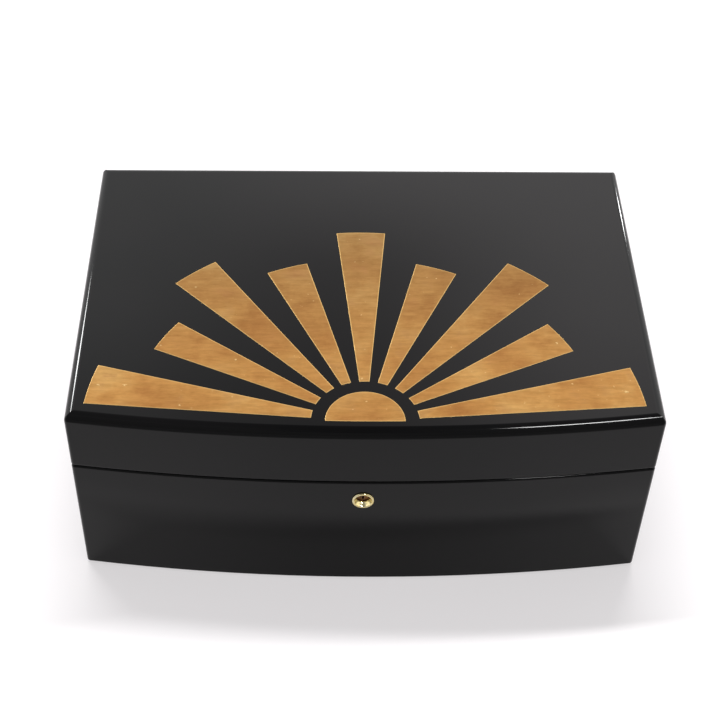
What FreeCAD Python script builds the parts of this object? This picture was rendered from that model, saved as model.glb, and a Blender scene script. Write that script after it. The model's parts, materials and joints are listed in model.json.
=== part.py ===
import FreeCAD, Part
import os
import Sketcher

# Black lacquered box with a bowed front, a hinged lid with flush gold inlay, a small cylinder lock and a
# lined inside with eight compartments. Millimetres, +Z up, front towards -Y.
# The origin is on the surface that the box stands on, in the middle of the straight part of the sides.

Vector = FreeCAD.Vector
doc = FreeCAD.newDocument("lacquered_box")
dim = doc.addObject("Spreadsheet::Sheet", "dim")

DIMENSIONS = (
    # Case and lid
    ("box_width", 300, "across the outer side faces"),
    ("side_depth", 196, "back face to front corners"),
    ("bow_rise", 10.4, "how far the middle of the front stands ahead of its corners"),
    ("case_height", 81, "foot of the walls to their rim"),
    ("lid_height", 37.7, "rim of the lid to its top"),
    ("seam_gap", 0.3, "between the two rims"),
    ("wall", 12, "thickness of the case walls"),
    ("lid_panel", 12, "thickness of the lid's top"),
    ("corner_radius", 2, "upright corners"),
    ("edge_radius", 5, "the lid's top edge"),
    ("seam_ease", 1.3, "eased outer edges along the seam"),
    ("foot_ease", 1, "eased outer edge at the foot"),
    ("bottom_thickness", 6, "bottom panel"),
    ("rebate", 6, "how far the bottom panel reaches into the walls"),
    ("panel_fit", 0.1, "round the bottom panel"),
    ("felt_thickness", 1, "felt under the box"),
    ("felt_inset", 4, "felt edge to outer face"),
    # Linings
    ("liner_thickness", 2.5, "covered boards on the case walls"),
    ("glue_line", 0.1, "between a board and its wall"),
    ("lip_height", 5, "how far the case boards stand above the rim"),
    ("lip_clearance", 0.6, "between those boards and the lid walls"),
    ("liner_gap", 1, "between the case boards and the lid boards, lid closed"),
    ("floor_thickness", 2, "covered board on the bottom panel"),
    ("floor_fit", 0.2, "round the floor board"),
    ("divider_thickness", 4, "covered dividers"),
    ("divider_height", 60, "above the floor board"),
    ("divider_fit", 0.3, "free width in the half laps"),
    ("divider_end_gap", 0.5, "divider end to wall board"),
    ("board_thickness", 1.5, "stiff board behind the lid's padding"),
    ("pad_thickness", 8, "padding at its thickest"),
    ("pad_edge", 3, "rounding of the padding's edge"),
    ("pad_crown", 3, "how far the middle of the padding stands below its rounded edge"),
    ("pad_slope", 36, "how far in from that edge the padding keeps swelling"),
    ("pad_clearance", 0.4, "padding to the lid boards"),
    # Inlay
    ("inlay_thickness", 0.6, "gold pieces, flush with the lid"),
    ("inlay_margin", 8, "gold to the outer faces"),
    ("hub_radius", 20, "half disc at the front"),
    ("ray_start", 27, "inner end of the rays"),
    ("ray_long", 141, "outer end of the long rays"),
    ("ray_short", 119, "outer end of the short rays"),
    ("ray_angle", 11, "width of a ray, in degrees"),
    # Hinges
    ("hinge_margin", 55, "outer side face to the middle of a hinge"),
    ("hinge_length", 38, "three knuckles together"),
    ("leaf_width", 8.5, "leaf on the rim"),
    ("leaf_thickness", 1.6, "both leaves"),
    ("barrel_radius", 2.5, "outside of the knuckles"),
    ("barrel_clearance", 0.2, "knuckles to the back face"),
    ("leaf_clearance", 0.25, "a leaf to the other leaf's knuckles"),
    ("knuckle_gap", 0.2, "between knuckles"),
    ("pin_radius", 1.1, "hinge pin"),
    ("pin_clearance", 0.05, "pin in its knuckles, on the radius"),
    ("pin_head_radius", 1.9, "peened heads"),
    ("pin_head", 0.8, "length of a peened head"),
    ("tail_length", 5.2, "stop on the lid's leaf, behind the pin"),
    ("stop_setback", 0.45, "stop face of the case's leaf ahead of the pin's axis"),
    ("stop_drop", 0.6, "stop block below the knuckles"),
    ("stop_height", 2.4, "stop block"),
    ("flange_thickness", 1.5, "case leaf's part let into the back face"),
    ("hinge_screw_pitch", 24, "between the two screws of a leaf"),
    # Screws
    ("screw_head_radius", 1.9, "countersunk head"),
    ("screw_head_height", 1.1, "countersunk head"),
    ("screw_shank_radius", 1, "thread"),
    ("screw_length", 8, "head face to point"),
    ("screw_fit", 0.05, "screw in its hole, on the radius"),
    ("screw_slot_width", 0.5, "driver slot"),
    ("screw_slot_depth", 0.5, "driver slot"),
    # Lock
    ("lock_drop", 13.8, "rim to the middle of the plug"),
    ("lock_depth", 7, "lock body, front to back"),
    ("lock_width", 26, "lock body"),
    ("lock_foot", 8, "middle of the plug to the foot of the lock body"),
    ("lock_plate", 1, "sheet that the lock body is made of"),
    ("lock_fit", 0.1, "lock body in its mortise"),
    ("lock_play", 0.15, "between the lock's sliding faces"),
    ("face_plate_length", 40, "plate on the rim"),
    ("face_plate_thickness", 1.5, "plate on the rim and plate in the lid"),
    ("face_plate_lead", 1, "plates ahead of the lock body"),
    ("face_screw_pitch", 33, "between its two screws"),
    ("flange_radius", 5.7, "round gold ring in the front"),
    ("flange_height", 0.9, "ring ahead of the front face"),
    ("flange_round", 0.45, "ring's outer edge"),
    ("cup_radius", 4.6, "mouth of the dished centre"),
    ("cup_floor_radius", 3.6, "foot of the dished centre"),
    ("cup_depth", 2, "front face to the plug's face"),
    ("tube_radius", 4.4, "ring's barrel through the wall"),
    ("plug_radius", 3, "plug"),
    ("plug_clearance", 0.05, "plug in its bore, on the radius"),
    ("keyway_width", 1, "slot for the key"),
    ("keyway_height", 3.4, "slot for the key"),
    ("keyway_depth", 2.4, "slot for the key"),
    ("cam_radius", 4.2, "disc behind the plug"),
    ("cam_thickness", 1.2, "disc behind the plug"),
    ("drive_offset", 3.2, "drive pin off the plug's axis"),
    ("drive_radius", 0.8, "drive pin"),
    ("drive_play", 0.25, "drive pin in the bolt's notch, each side"),
    ("pivot_radius", 1.2, "plug's rear pivot"),
    ("bolt_thickness", 2, "bolt"),
    ("bolt_foot", 1.6, "bolt's lower edge above the plug's axis"),
    ("bolt_head", 7.4, "bolt's upper edge above the plug's axis"),
    ("bolt_end_gap", 0.5, "bolt to the loop and to the lock body's end, unlocked"),
    ("nose_height", 2.4, "bolt's nose"),
    ("guide_thickness", 1, "ledges above and below the bolt"),
    # Loop that drops into the lock
    ("strike_length", 30, "plate in the lid's rim"),
    ("strike_margin", 0.5, "plate to the inside of the lid wall"),
    ("strike_screw_pitch", 22, "between its two screws"),
    ("loop_offset", 7.4, "loop to the right of the plug"),
    ("loop_thickness", 1.8, "across the bolt's way"),
    ("loop_bar", 0.6, "sides of the loop"),
    ("loop_play", 0.25, "bolt's nose in the loop, each side"),
    ("loop_foot", 1.6, "bar under the bolt's nose"),
    ("slot_play", 0.5, "loop in the rim plate's slot, each side"),
)

RAY_COUNT = 9
CROSS_COUNT = 3

for row, (alias, value, meaning) in enumerate(DIMENSIONS, 1):
    dim.set(f"A{row}", alias)
    dim.set(f"B{row}", str(value))
    dim.set(f"C{row}", meaning)
    dim.setAlias(f"B{row}", alias)
doc.recompute()

# Levels and faces, as formulas of the sheet
HALF_WIDTH = "(dim.box_width / 2)"
BACK = "(dim.side_depth / 2)"
CORNER = "(-dim.side_depth / 2)"
FRONT = "(-dim.side_depth / 2 - dim.bow_rise)"
BOW_RADIUS = f"(({HALF_WIDTH} ^ 2 + dim.bow_rise ^ 2) / (2 * dim.bow_rise))"
FOOT = "dim.felt_thickness"
RIM = f"({FOOT} + dim.case_height)"
LID_RIM = f"({RIM} + dim.seam_gap)"
TOP = f"({LID_RIM} + dim.lid_height)"
CEILING = f"({TOP} - dim.lid_panel)"
LID_WALL = "(dim.wall + dim.glue_line - dim.lip_clearance)"
LINED = "(dim.wall + dim.glue_line + dim.liner_thickness)"
PANEL_TOP = f"({FOOT} + dim.bottom_thickness)"
FLOOR = f"({PANEL_TOP} + dim.floor_thickness)"
OVER = "1"


def number(formula):
    return float(dim.evalExpression(str(formula)))


def bind(item, **formulas):
    for name, formula in formulas.items():
        item.setExpression(name, str(formula))


def move(item, x, y, z, rotation=None):
    item.Placement = FreeCAD.Placement(Vector(), rotation or FreeCAD.Rotation())
    for axis, formula in zip("xyz", (x, y, z)):
        item.setExpression(f"Placement.Base.{axis}", str(formula))
    return item


def block(name, low, size):
    item = doc.addObject("Part::Box", name)
    bind(item, Length=size[0], Width=size[1], Height=size[2])
    return move(item, *low)


TURNS = {
    "X": FreeCAD.Rotation(Vector(0, 1, 0), 90),
    "Y": FreeCAD.Rotation(Vector(1, 0, 0), -90),
    "Z": FreeCAD.Rotation(),
}


def rod(name, radius, length, start, along="Z"):
    item = doc.addObject("Part::Cylinder", name)
    bind(item, Radius=radius, Height=length)
    return move(item, *start, TURNS[along])


def fuse(name, *parts):
    item = doc.addObject("Part::MultiFuse", name)
    item.Shapes = list(parts)
    return item


def common(name, *parts):
    item = doc.addObject("Part::MultiCommon", name)
    item.Shapes = list(parts)
    return item


def cut(name, base, *tools):
    item = doc.addObject("Part::Cut", name)
    item.Base = base
    item.Tool = tools[0] if len(tools) == 1 else fuse(name + "_tools", *tools)
    return item


def group(name, *parts):
    item = doc.addObject("Part::Compound", name)
    item.Links = list(parts)
    return item


nodes = []


def node(label, item):
    item.Label = label
    nodes.append(item)
    return item


def edge_numbers(shape, test):
    return [index for index, edge in enumerate(shape.Edges, 1) if test(edge)]


# Solids that follow the box's outline: three straight sides and the bowed front, all set in alike

def bowed_core(name, inset, bottom, height):
    middle = f"{FRONT} + {BOW_RADIUS}"
    low = (f"-{HALF_WIDTH} + {inset}", f"{FRONT} - {OVER}", bottom)
    width = f"dim.box_width - 2 * {inset}"
    depth = f"{BACK} - {inset} - {FRONT} + {OVER}"
    straight = block(name + "_block", low, (width, depth, height))
    bow = rod(name + "_bow", f"{BOW_RADIUS} - {inset}", height, (0, middle, bottom))
    return common(name, straight, bow)


def origin_plane(body, role):
    return [plane for plane in body.Origin.OriginFeatures if plane.Role == role][0]


def new_sketch(body, name, role):
    sketch = body.newObject("Sketcher::SketchObject", name)
    sketch.AttachmentSupport = [(origin_plane(body, role), "")]
    sketch.MapMode = "FlatFace"
    return sketch


def close_outline(sketch, points, edges):
    # Joins the edges end to end and ties each corner to its two formulas
    sketch.addGeometry(edges)
    for index, point in enumerate(points):
        before = (index - 1) % len(edges)
        sketch.addConstraint(Sketcher.Constraint("Coincident", before, 2, index, 1))
        for kind, formula in zip(("DistanceX", "DistanceY"), point):
            value = number(formula)
            place = sketch.addConstraint(Sketcher.Constraint(kind, -1, 1, index, 1, value))
            sketch.setExpression(f"Constraints[{place}]", formula)


def corners_of(points):
    return [Vector(number(x), number(y)) for x, y in points]


def polygon(body, name, role, points):
    sketch = new_sketch(body, name, role)
    corners = corners_of(points)
    edges = [Part.LineSegment(a, b) for a, b in zip(corners, corners[1:] + corners[:1])]
    close_outline(sketch, points, edges)
    return sketch


def padded(body, name, sketch, height):
    pad = body.newObject("PartDesign::Pad", name)
    pad.Profile = sketch
    bind(pad, Length=height)
    doc.recompute()
    return pad


def rounded(body, name, feature, test, radius):
    fillet = body.newObject("PartDesign::Fillet", name)
    fillet.Base = (feature, [f"Edge{n}" for n in edge_numbers(feature.Shape, test)])
    bind(fillet, Radius=radius)
    doc.recompute()
    return fillet


def bowed_outline(body, name, inset, level):
    side = f"({HALF_WIDTH} - {inset})"
    radius = f"({BOW_RADIUS} - {inset})"
    corner = f"{FRONT} + {BOW_RADIUS} - sqrt({radius} ^ 2 - {side} ^ 2)"
    back = f"{BACK} - {inset}"
    points = [(f"-{side}", back), (f"-{side}", corner), (side, corner), (side, back)]
    a, b, c, d = corners_of(points)
    sketch = new_sketch(body, name, "XY_Plane")
    sketch.setExpression("AttachmentOffset.Base.z", str(level))
    front = Part.Arc(b, Vector(0, number(f"{FRONT} + {inset}")), c)
    left, right, rear = Part.LineSegment(a, b), Part.LineSegment(c, d), Part.LineSegment(d, a)
    close_outline(sketch, points, [left, front, right, rear])
    bow = sketch.addConstraint(Sketcher.Constraint("Radius", 1, number(radius)))
    sketch.setExpression(f"Constraints[{bow}]", radius)
    return sketch


def bowed_form(name, bottom, height):
    body = doc.addObject("PartDesign::Body", name)
    sketch = bowed_outline(body, name + "_outline", "0", "0")
    move(body, 0, 0, bottom)
    return body, padded(body, name + "_height", sketch, height)


def at_level(z):
    return lambda edge: abs(edge.BoundBox.ZMin - z) < 1e-4 and abs(edge.BoundBox.ZMax - z) < 1e-4


def upright(edge):
    box = edge.BoundBox
    return box.ZLength > 1 and box.XLength < 1e-4 and box.YLength < 1e-4


# Four prisms that part every ring of walls or boards along its mitres. The front corners open a little
# past a right angle, because the bowed front meets the sides at a slant.

SPREAD = "5"
REACH = f"(2 * {LINED})"
MITRE = f"(1 / tan((90 deg + asin({HALF_WIDTH} / {BOW_RADIUS})) / 2))"


def mitre_prism(name, points):
    body = doc.addObject("PartDesign::Body", name)
    sketch = polygon(body, name + "_outline", "XY_Plane", points)
    padded(body, name + "_height", sketch, TOP)
    return body


def corner_points(sign):
    outer_x = f"{sign} * ({HALF_WIDTH} + {SPREAD})"
    inner_x = f"{sign} * ({HALF_WIDTH} - {REACH})"
    front = [(outer_x, f"{CORNER} - {SPREAD} * {MITRE}"), (inner_x, f"{CORNER} + {REACH} * {MITRE}")]
    back = [(inner_x, f"{BACK} - {REACH}"), (outer_x, f"{BACK} + {SPREAD}")]
    return front, back


left_front, left_back = corner_points(-1)
right_front, right_back = corner_points(1)
ahead = f"{FRONT} - {SPREAD}"
SIDES = {
    "front": mitre_prism("mitre_front", left_front + right_front[::-1]
                         + [(right_front[0][0], ahead), (left_front[0][0], ahead)]),
    "back": mitre_prism("mitre_back", left_back[::-1] + right_back),
    "left": mitre_prism("mitre_left", left_front + left_back),
    "right": mitre_prism("mitre_right", right_front + right_back),
}


def side_of(ring, name, side):
    return common(name, ring, SIDES[side])


def mitred_boards(prefix, outer, inner, bottom, height):
    whole = bowed_core(prefix + "_whole", outer, bottom, height)
    hollow = bowed_core(prefix + "_hollow", inner, f"{bottom} - {OVER}", f"{height} + 2 * {OVER}")
    ring = cut(prefix + "_ring", whole, hollow)
    for side in SIDES:
        node(f"{prefix}_{side}", side_of(ring, f"{prefix}_{side}", side))


# Screws: countersunk, slotted. The head's face is at the given point and the point is above or below it.

def screw_form(name, place, up, fit, extra):
    x, y, face = place
    cone = doc.addObject("Part::Cone", name + "_head")
    shank = f"dim.screw_shank_radius + {fit}"
    head = f"dim.screw_head_radius + {fit}"
    bind(cone, Height="dim.screw_head_height")
    if up:
        bind(cone, Radius1=head, Radius2=shank)
        move(cone, x, y, face)
        thread = rod(name + "_thread", shank, f"dim.screw_length + {extra}", (x, y, face))
    else:
        bind(cone, Radius1=shank, Radius2=head)
        move(cone, x, y, f"{face} - dim.screw_head_height")
        start = f"{face} - dim.screw_length - {extra}"
        thread = rod(name + "_thread", shank, f"dim.screw_length + {extra}", (x, y, start))
    return fuse(name, cone, thread)


def screw(name, place, up):
    x, y, face = place
    low = face if up else f"{face} - dim.screw_slot_depth"
    corner = (f"{x} - dim.screw_head_radius", f"{y} - dim.screw_slot_width / 2", low)
    size = ("2 * dim.screw_head_radius", "dim.screw_slot_width", "dim.screw_slot_depth")
    return cut(name, screw_form(name + "_form", place, up, "0", "0"), block(name + "_slot", corner, size))


def screw_hole(name, place, up):
    return screw_form(name, place, up, "dim.screw_fit", "dim.screw_fit")


def screws(name, places, up):
    return [screw(f"{name}_{index}", place, up) for index, place in enumerate(places)]


def screw_holes(name, places, up):
    return [screw_hole(f"{name}_{index}", place, up) for index, place in enumerate(places)]


# Hinges: two three-knuckle butt hinges, let into the rims, with stops that open them a little past upright

AXIS_Y = f"({BACK} + dim.barrel_radius + dim.barrel_clearance)"
AXIS_Z = f"({RIM} + dim.seam_gap / 2)"
KNUCKLE = "(dim.hinge_length / 3)"
LEAF_FRONT = f"({BACK} - dim.leaf_width)"
KNUCKLE_EDGE = f"({AXIS_Y} - dim.barrel_radius - dim.leaf_clearance)"
STOP_FOOT = f"({AXIS_Z} - dim.barrel_radius - dim.stop_drop - dim.stop_height)"
HINGES = {"left": f"(dim.hinge_margin - {HALF_WIDTH})", "right": f"({HALF_WIDTH} - dim.hinge_margin)"}


def hinge_start(middle):
    return f"{middle} - dim.hinge_length / 2"


def leaf_screw_places(middle, face):
    y = f"{BACK} - dim.leaf_width / 2"
    return [(f"{middle} + {sign} * dim.hinge_screw_pitch / 2", y, face) for sign in (-1, 1)]


def knuckles(name, middle, indices):
    parts = []
    length = f"{KNUCKLE} - dim.knuckle_gap"
    for index in indices:
        start = f"{hinge_start(middle)} + {index} * {KNUCKLE} + dim.knuckle_gap / 2"
        place = (start, AXIS_Y, AXIS_Z)
        parts.append(rod(f"{name}_knuckle_{index}", "dim.barrel_radius", length, place, "X"))
    return parts


def room_for_knuckles(name, middle, indices):
    parts = []
    for index in indices:
        start = f"{hinge_start(middle)} + {index} * {KNUCKLE} - dim.knuckle_gap / 2"
        low = (start, KNUCKLE_EDGE, f"{AXIS_Z} - 2 * dim.barrel_radius")
        size = (f"{KNUCKLE} + dim.knuckle_gap", "3 * dim.barrel_radius", "4 * dim.barrel_radius")
        parts.append(block(f"{name}_room_{index}", low, size))
    return parts


def pin_bore(name, middle):
    start = (f"{hinge_start(middle)} - {OVER}", AXIS_Y, AXIS_Z)
    return rod(name, "dim.pin_radius + dim.pin_clearance", f"dim.hinge_length + 2 * {OVER}", start, "X")


def stop_room(middle):
    # The middle knuckle's length, where both stops lie
    return f"{hinge_start(middle)} + {KNUCKLE} + dim.knuckle_gap / 2", f"{KNUCKLE} - dim.knuckle_gap"


def lower_leaf(side, middle):
    name = f"hinge_leaf_lower_{side}"
    low = (hinge_start(middle), LEAF_FRONT, f"{RIM} - dim.leaf_thickness")
    size = ("dim.hinge_length", f"{AXIS_Y} - {LEAF_FRONT}", "dim.leaf_thickness")
    plate = cut(name + "_plate", block(name + "_sheet", low, size), *room_for_knuckles(name, middle, [1]))
    stop_start, stop_length = stop_room(middle)
    flange = block(name + "_flange", (stop_start, f"{BACK} - dim.flange_thickness", STOP_FOOT),
                   (stop_length, "dim.flange_thickness", f"{RIM} - {STOP_FOOT}"))
    stop = block(name + "_stop", (stop_start, BACK, STOP_FOOT),
                 (stop_length, f"{AXIS_Y} - dim.stop_setback - {BACK}", "dim.stop_height"))
    whole = fuse(name + "_whole", plate, flange, stop, *knuckles(name, middle, [0, 2]))
    holes = screw_holes(name + "_hole", leaf_screw_places(middle, RIM), False)
    node(name, cut(name, whole, pin_bore(name + "_bore", middle), *holes))


def upper_leaf(side, middle):
    name = f"hinge_leaf_upper_{side}"
    low = (hinge_start(middle), LEAF_FRONT, LID_RIM)
    size = ("dim.hinge_length", f"{AXIS_Y} - {LEAF_FRONT}", "dim.leaf_thickness")
    plate = cut(name + "_plate", block(name + "_sheet", low, size), *room_for_knuckles(name, middle, [0, 2]))
    tail_start, tail_width = stop_room(middle)
    tail = block(name + "_tail", (tail_start, AXIS_Y, LID_RIM),
                 (tail_width, "dim.tail_length", "dim.leaf_thickness"))
    whole = fuse(name + "_whole", plate, tail, *knuckles(name, middle, [1]))
    holes = screw_holes(name + "_hole", leaf_screw_places(middle, LID_RIM), True)
    node(name, cut(name, whole, pin_bore(name + "_bore", middle), *holes))


def hinge_pin(side, middle):
    name = f"hinge_pin_{side}"
    start = hinge_start(middle)
    parts = [rod(name + "_shaft", "dim.pin_radius", "dim.hinge_length", (start, AXIS_Y, AXIS_Z), "X")]
    for end, x in (("left", f"{start} - dim.pin_head"), ("right", f"{start} + dim.hinge_length")):
        place = (x, AXIS_Y, AXIS_Z)
        parts.append(rod(f"{name}_head_{end}", "dim.pin_head_radius", "dim.pin_head", place, "X"))
    node(name, fuse(name, *parts))


def hinge_mortises(name, level, face, up):
    # Seats of both leaves in a back wall, and the holes of their screws
    parts = []
    for side, middle in HINGES.items():
        low = (hinge_start(middle), LEAF_FRONT, level)
        size = ("dim.hinge_length", f"dim.leaf_width + {OVER}", f"dim.leaf_thickness + {OVER}")
        parts.append(block(f"{name}_mortise_{side}", low, size))
        parts += screw_holes(f"{name}_pilot_{side}", leaf_screw_places(middle, face), up)
    return parts


def flange_mortises(name):
    parts = []
    for side, middle in HINGES.items():
        start, length = stop_room(middle)
        low = (start, f"{BACK} - dim.flange_thickness", STOP_FOOT)
        size = (length, f"dim.flange_thickness + {OVER}", f"{RIM} + {OVER} - {STOP_FOOT}")
        parts.append(block(f"{name}_flange_{side}", low, size))
    return parts


for side, middle in HINGES.items():
    lower_leaf(side, middle)
    upper_leaf(side, middle)
    hinge_pin(side, middle)


def hinge_screws(label, face, up):
    parts = []
    for side, middle in HINGES.items():
        parts += screws(f"{label}_{side}", leaf_screw_places(middle, face), up)
    node(label, group(label, *parts))


hinge_screws("hinge_screws_lower", RIM, False)
hinge_screws("hinge_screws_upper", LID_RIM, True)


# Lock: a plug with an off-centre pin draws a flat bolt sideways, through a loop that hangs from the lid.
# Unlocked, the pin stands an eighth turn left of the top. A quarter turn takes it as far to the right.

LOCK_Z = f"({RIM} - dim.lock_drop)"
LOCK_Y = f"({FRONT} + dim.wall - dim.lock_depth)"
INSIDE_Y = f"({FRONT} + dim.wall)"
CAVITY_Y = f"({LOCK_Y} + dim.lock_plate)"
CAM_Y = f"({CAVITY_Y} + dim.lock_play)"
BOLT_Y = f"({CAM_Y} + dim.cam_thickness + dim.lock_play)"
BOLT_BACK = f"({BOLT_Y} + dim.bolt_thickness)"
CAP_Y = f"({INSIDE_Y} - dim.lock_plate)"
LOCK_HALF = "(dim.lock_width / 2)"
LOCK_BASE = f"({LOCK_Z} - dim.lock_foot)"
LOCK_TOP = f"({RIM} - dim.face_plate_thickness)"
TRAVEL = "(dim.drive_offset * sqrt(2))"
DRIVE_X = "(-dim.drive_offset / sqrt(2))"
LOOP_X = "(dim.loop_offset - dim.loop_thickness / 2)"
LOOP_HALF = "(dim.bolt_thickness / 2 + dim.loop_play + dim.loop_bar)"
LOOP_Y = f"({BOLT_Y} + dim.bolt_thickness / 2)"
NOSE_Z = f"({LOCK_Z} + dim.bolt_head - dim.nose_height)"
BOLT_LEFT = f"(-{LOCK_HALF} + dim.lock_plate + dim.bolt_end_gap)"
BOLT_RIGHT = f"({LOOP_X} - {TRAVEL} - dim.bolt_end_gap)"
FACE_PLATE_Y = f"({LOCK_Y} - dim.face_plate_lead)"
STRIKE_BACK = f"({FRONT} + {LID_WALL} - dim.strike_margin)"


def plate_screw_places(pitch, back, face):
    y = f"({FACE_PLATE_Y} + {back}) / 2"
    return [(f"{sign} * {pitch} / 2", y, face) for sign in (-1, 1)]


FACE_SCREWS = plate_screw_places("dim.face_screw_pitch", INSIDE_Y, RIM)
STRIKE_SCREWS = plate_screw_places("dim.strike_screw_pitch", STRIKE_BACK, LID_RIM)


def lock_box(name, grow, back):
    # The lock body's outside, a little larger for its mortise
    low = (f"-{LOCK_HALF} - {grow}", f"{LOCK_Y} - {grow}", f"{LOCK_BASE} - {grow}")
    depth = f"{back} - {LOCK_Y} + {grow}"
    height = f"{LOCK_TOP} - {LOCK_BASE} + {grow}"
    return block(name, low, (f"dim.lock_width + 2 * {grow}", depth, height))


def ledge(name, left, right, level):
    size = (f"{right} - {left}", f"{BOLT_BACK} - {CAVITY_Y}", "dim.guide_thickness")
    return block(name, (left, CAVITY_Y, level), size)


def lock_case():
    shell = lock_box("lock_shell", "0", CAP_Y)
    inside_left = f"(-{LOCK_HALF} + dim.lock_plate)"
    hollow = block("lock_hollow", (inside_left, CAVITY_Y, f"{LOCK_BASE} + dim.lock_plate"),
                   ("dim.lock_width - 2 * dim.lock_plate", "dim.lock_depth", "dim.lock_drop + dim.lock_foot"))
    lower = ledge("lock_ledge_lower", inside_left, "-dim.cam_radius - dim.bolt_end_gap",
                  f"{LOCK_Z} + dim.bolt_foot - dim.lock_play - dim.guide_thickness")
    upper = ledge("lock_ledge_upper", inside_left, BOLT_RIGHT, f"{LOCK_Z} + dim.bolt_head + dim.lock_play")
    bore = rod("lock_plug_bore", "dim.plug_radius + dim.plug_clearance", "2 * dim.lock_plate",
               (0, f"{LOCK_Y} - dim.lock_plate / 2", LOCK_Z), "Y")
    shell_open = cut("lock_shell_open", shell, hollow)
    node("lock_case", cut("lock_case", fuse("lock_case_whole", shell_open, lower, upper), bore))


def lock_cap():
    plate = block("lock_cap_plate", (f"-{LOCK_HALF}", CAP_Y, LOCK_BASE),
                  ("dim.lock_width", "dim.lock_plate", f"{LOCK_TOP} - {LOCK_BASE}"))
    left = f"(-{LOCK_HALF} + dim.lock_plate + dim.lock_play)"
    right = f"({BOLT_RIGHT} + dim.bolt_thickness)"
    pad_y = f"({BOLT_BACK} + dim.lock_play)"
    backing = block("lock_cap_pad", (left, pad_y, f"{LOCK_Z} + dim.bolt_foot"),
                    (f"{right} - {left}", f"{CAP_Y} - {pad_y}", "dim.bolt_head - dim.bolt_foot"))
    bore = rod("lock_cap_bore", "dim.pivot_radius + dim.plug_clearance", "3 * dim.lock_plate",
               (0, f"{CAP_Y} - dim.lock_plate", LOCK_Z), "Y")
    node("lock_cap", cut("lock_cap", fuse("lock_cap_whole", plate, backing), bore))


def lock_face_plate():
    plate = block("face_plate_sheet", ("-dim.face_plate_length / 2", FACE_PLATE_Y, LOCK_TOP),
                  ("dim.face_plate_length", f"{INSIDE_Y} - {FACE_PLATE_Y}", "dim.face_plate_thickness"))
    half = f"({LOOP_HALF} + dim.slot_play)"
    low = (f"{LOOP_X} - dim.slot_play", f"{LOOP_Y} - {half}", f"{LOCK_TOP} - {OVER}")
    size = ("dim.loop_thickness + 2 * dim.slot_play", f"2 * {half}", f"dim.face_plate_thickness + 2 * {OVER}")
    slot = block("face_plate_slot", low, size)
    holes = screw_holes("face_plate_hole", FACE_SCREWS, False)
    node("lock_face_plate", cut("lock_face_plate", plate, slot, *holes))


def lock_escutcheon():
    # Turned about the plug's axis: a flat ring ahead of the wall, dished in the middle, with a barrel
    body = doc.addObject("PartDesign::Body", "lock_escutcheon")
    bore = "dim.plug_radius + dim.plug_clearance"
    barrel = "dim.wall - dim.lock_depth"
    points = [
        ("0", "dim.tube_radius"),
        (barrel, "dim.tube_radius"),
        (barrel, bore),
        ("dim.cup_depth", bore),
        ("dim.cup_depth", "dim.cup_floor_radius"),
        ("-dim.flange_height", "dim.cup_radius"),
        ("-dim.flange_height", "dim.flange_radius - dim.flange_round"),
        ("-dim.flange_height + dim.flange_round", "dim.flange_radius"),
        ("0", "dim.flange_radius"),
    ]
    sketch = polygon(body, "escutcheon_profile", "YZ_Plane", points)
    turned = body.newObject("PartDesign::Revolution", "escutcheon_turned")
    turned.Profile = sketch
    turned.ReferenceAxis = (sketch, ["H_Axis"])
    turned.Angle = 360
    move(body, 0, FRONT, LOCK_Z)
    node("lock_escutcheon", body)


def lock_plug():
    face_y = f"({FRONT} + dim.cup_depth)"
    cam_back = f"({CAM_Y} + dim.cam_thickness)"
    shaft = rod("plug_shaft", "dim.plug_radius", f"{CAM_Y} - {face_y}", (0, face_y, LOCK_Z), "Y")
    cam = rod("plug_cam", "dim.cam_radius", "dim.cam_thickness", (0, CAM_Y, LOCK_Z), "Y")
    pivot = rod("plug_pivot", "dim.pivot_radius", f"{INSIDE_Y} - dim.lock_play - {cam_back}",
                (0, cam_back, LOCK_Z), "Y")
    drive = rod("plug_drive", "dim.drive_radius", f"{BOLT_BACK} - {cam_back}",
                (DRIVE_X, cam_back, f"{LOCK_Z} - {DRIVE_X}"), "Y")
    keyway_low = ("-dim.keyway_width / 2", f"{face_y} - {OVER}", f"{LOCK_Z} - dim.keyway_height / 2")
    keyway = block("plug_keyway", keyway_low,
                   ("dim.keyway_width", f"dim.keyway_depth + {OVER}", "dim.keyway_height"))
    node("lock_plug", cut("lock_plug", fuse("plug_whole", shaft, cam, pivot, drive), keyway))


def lock_bolt():
    plate = block("bolt_plate", (BOLT_LEFT, BOLT_Y, f"{LOCK_Z} + dim.bolt_foot"),
                  (f"{BOLT_RIGHT} - {BOLT_LEFT}", "dim.bolt_thickness", "dim.bolt_head - dim.bolt_foot"))
    nose = block("bolt_nose", (BOLT_LEFT, BOLT_Y, NOSE_Z),
                 (f"{LOOP_X} - dim.bolt_end_gap - {BOLT_LEFT}", "dim.bolt_thickness", "dim.nose_height"))
    half = "(dim.drive_radius + dim.drive_play)"
    notch = block("bolt_notch", (f"{DRIVE_X} - {half}", f"{BOLT_Y} - {OVER}", LOCK_Z),
                  (f"2 * {half}", f"dim.bolt_thickness + 2 * {OVER}", f"dim.drive_offset + {half}"))
    node("lock_bolt", cut("lock_bolt", fuse("bolt_whole", plate, nose), notch))


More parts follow.
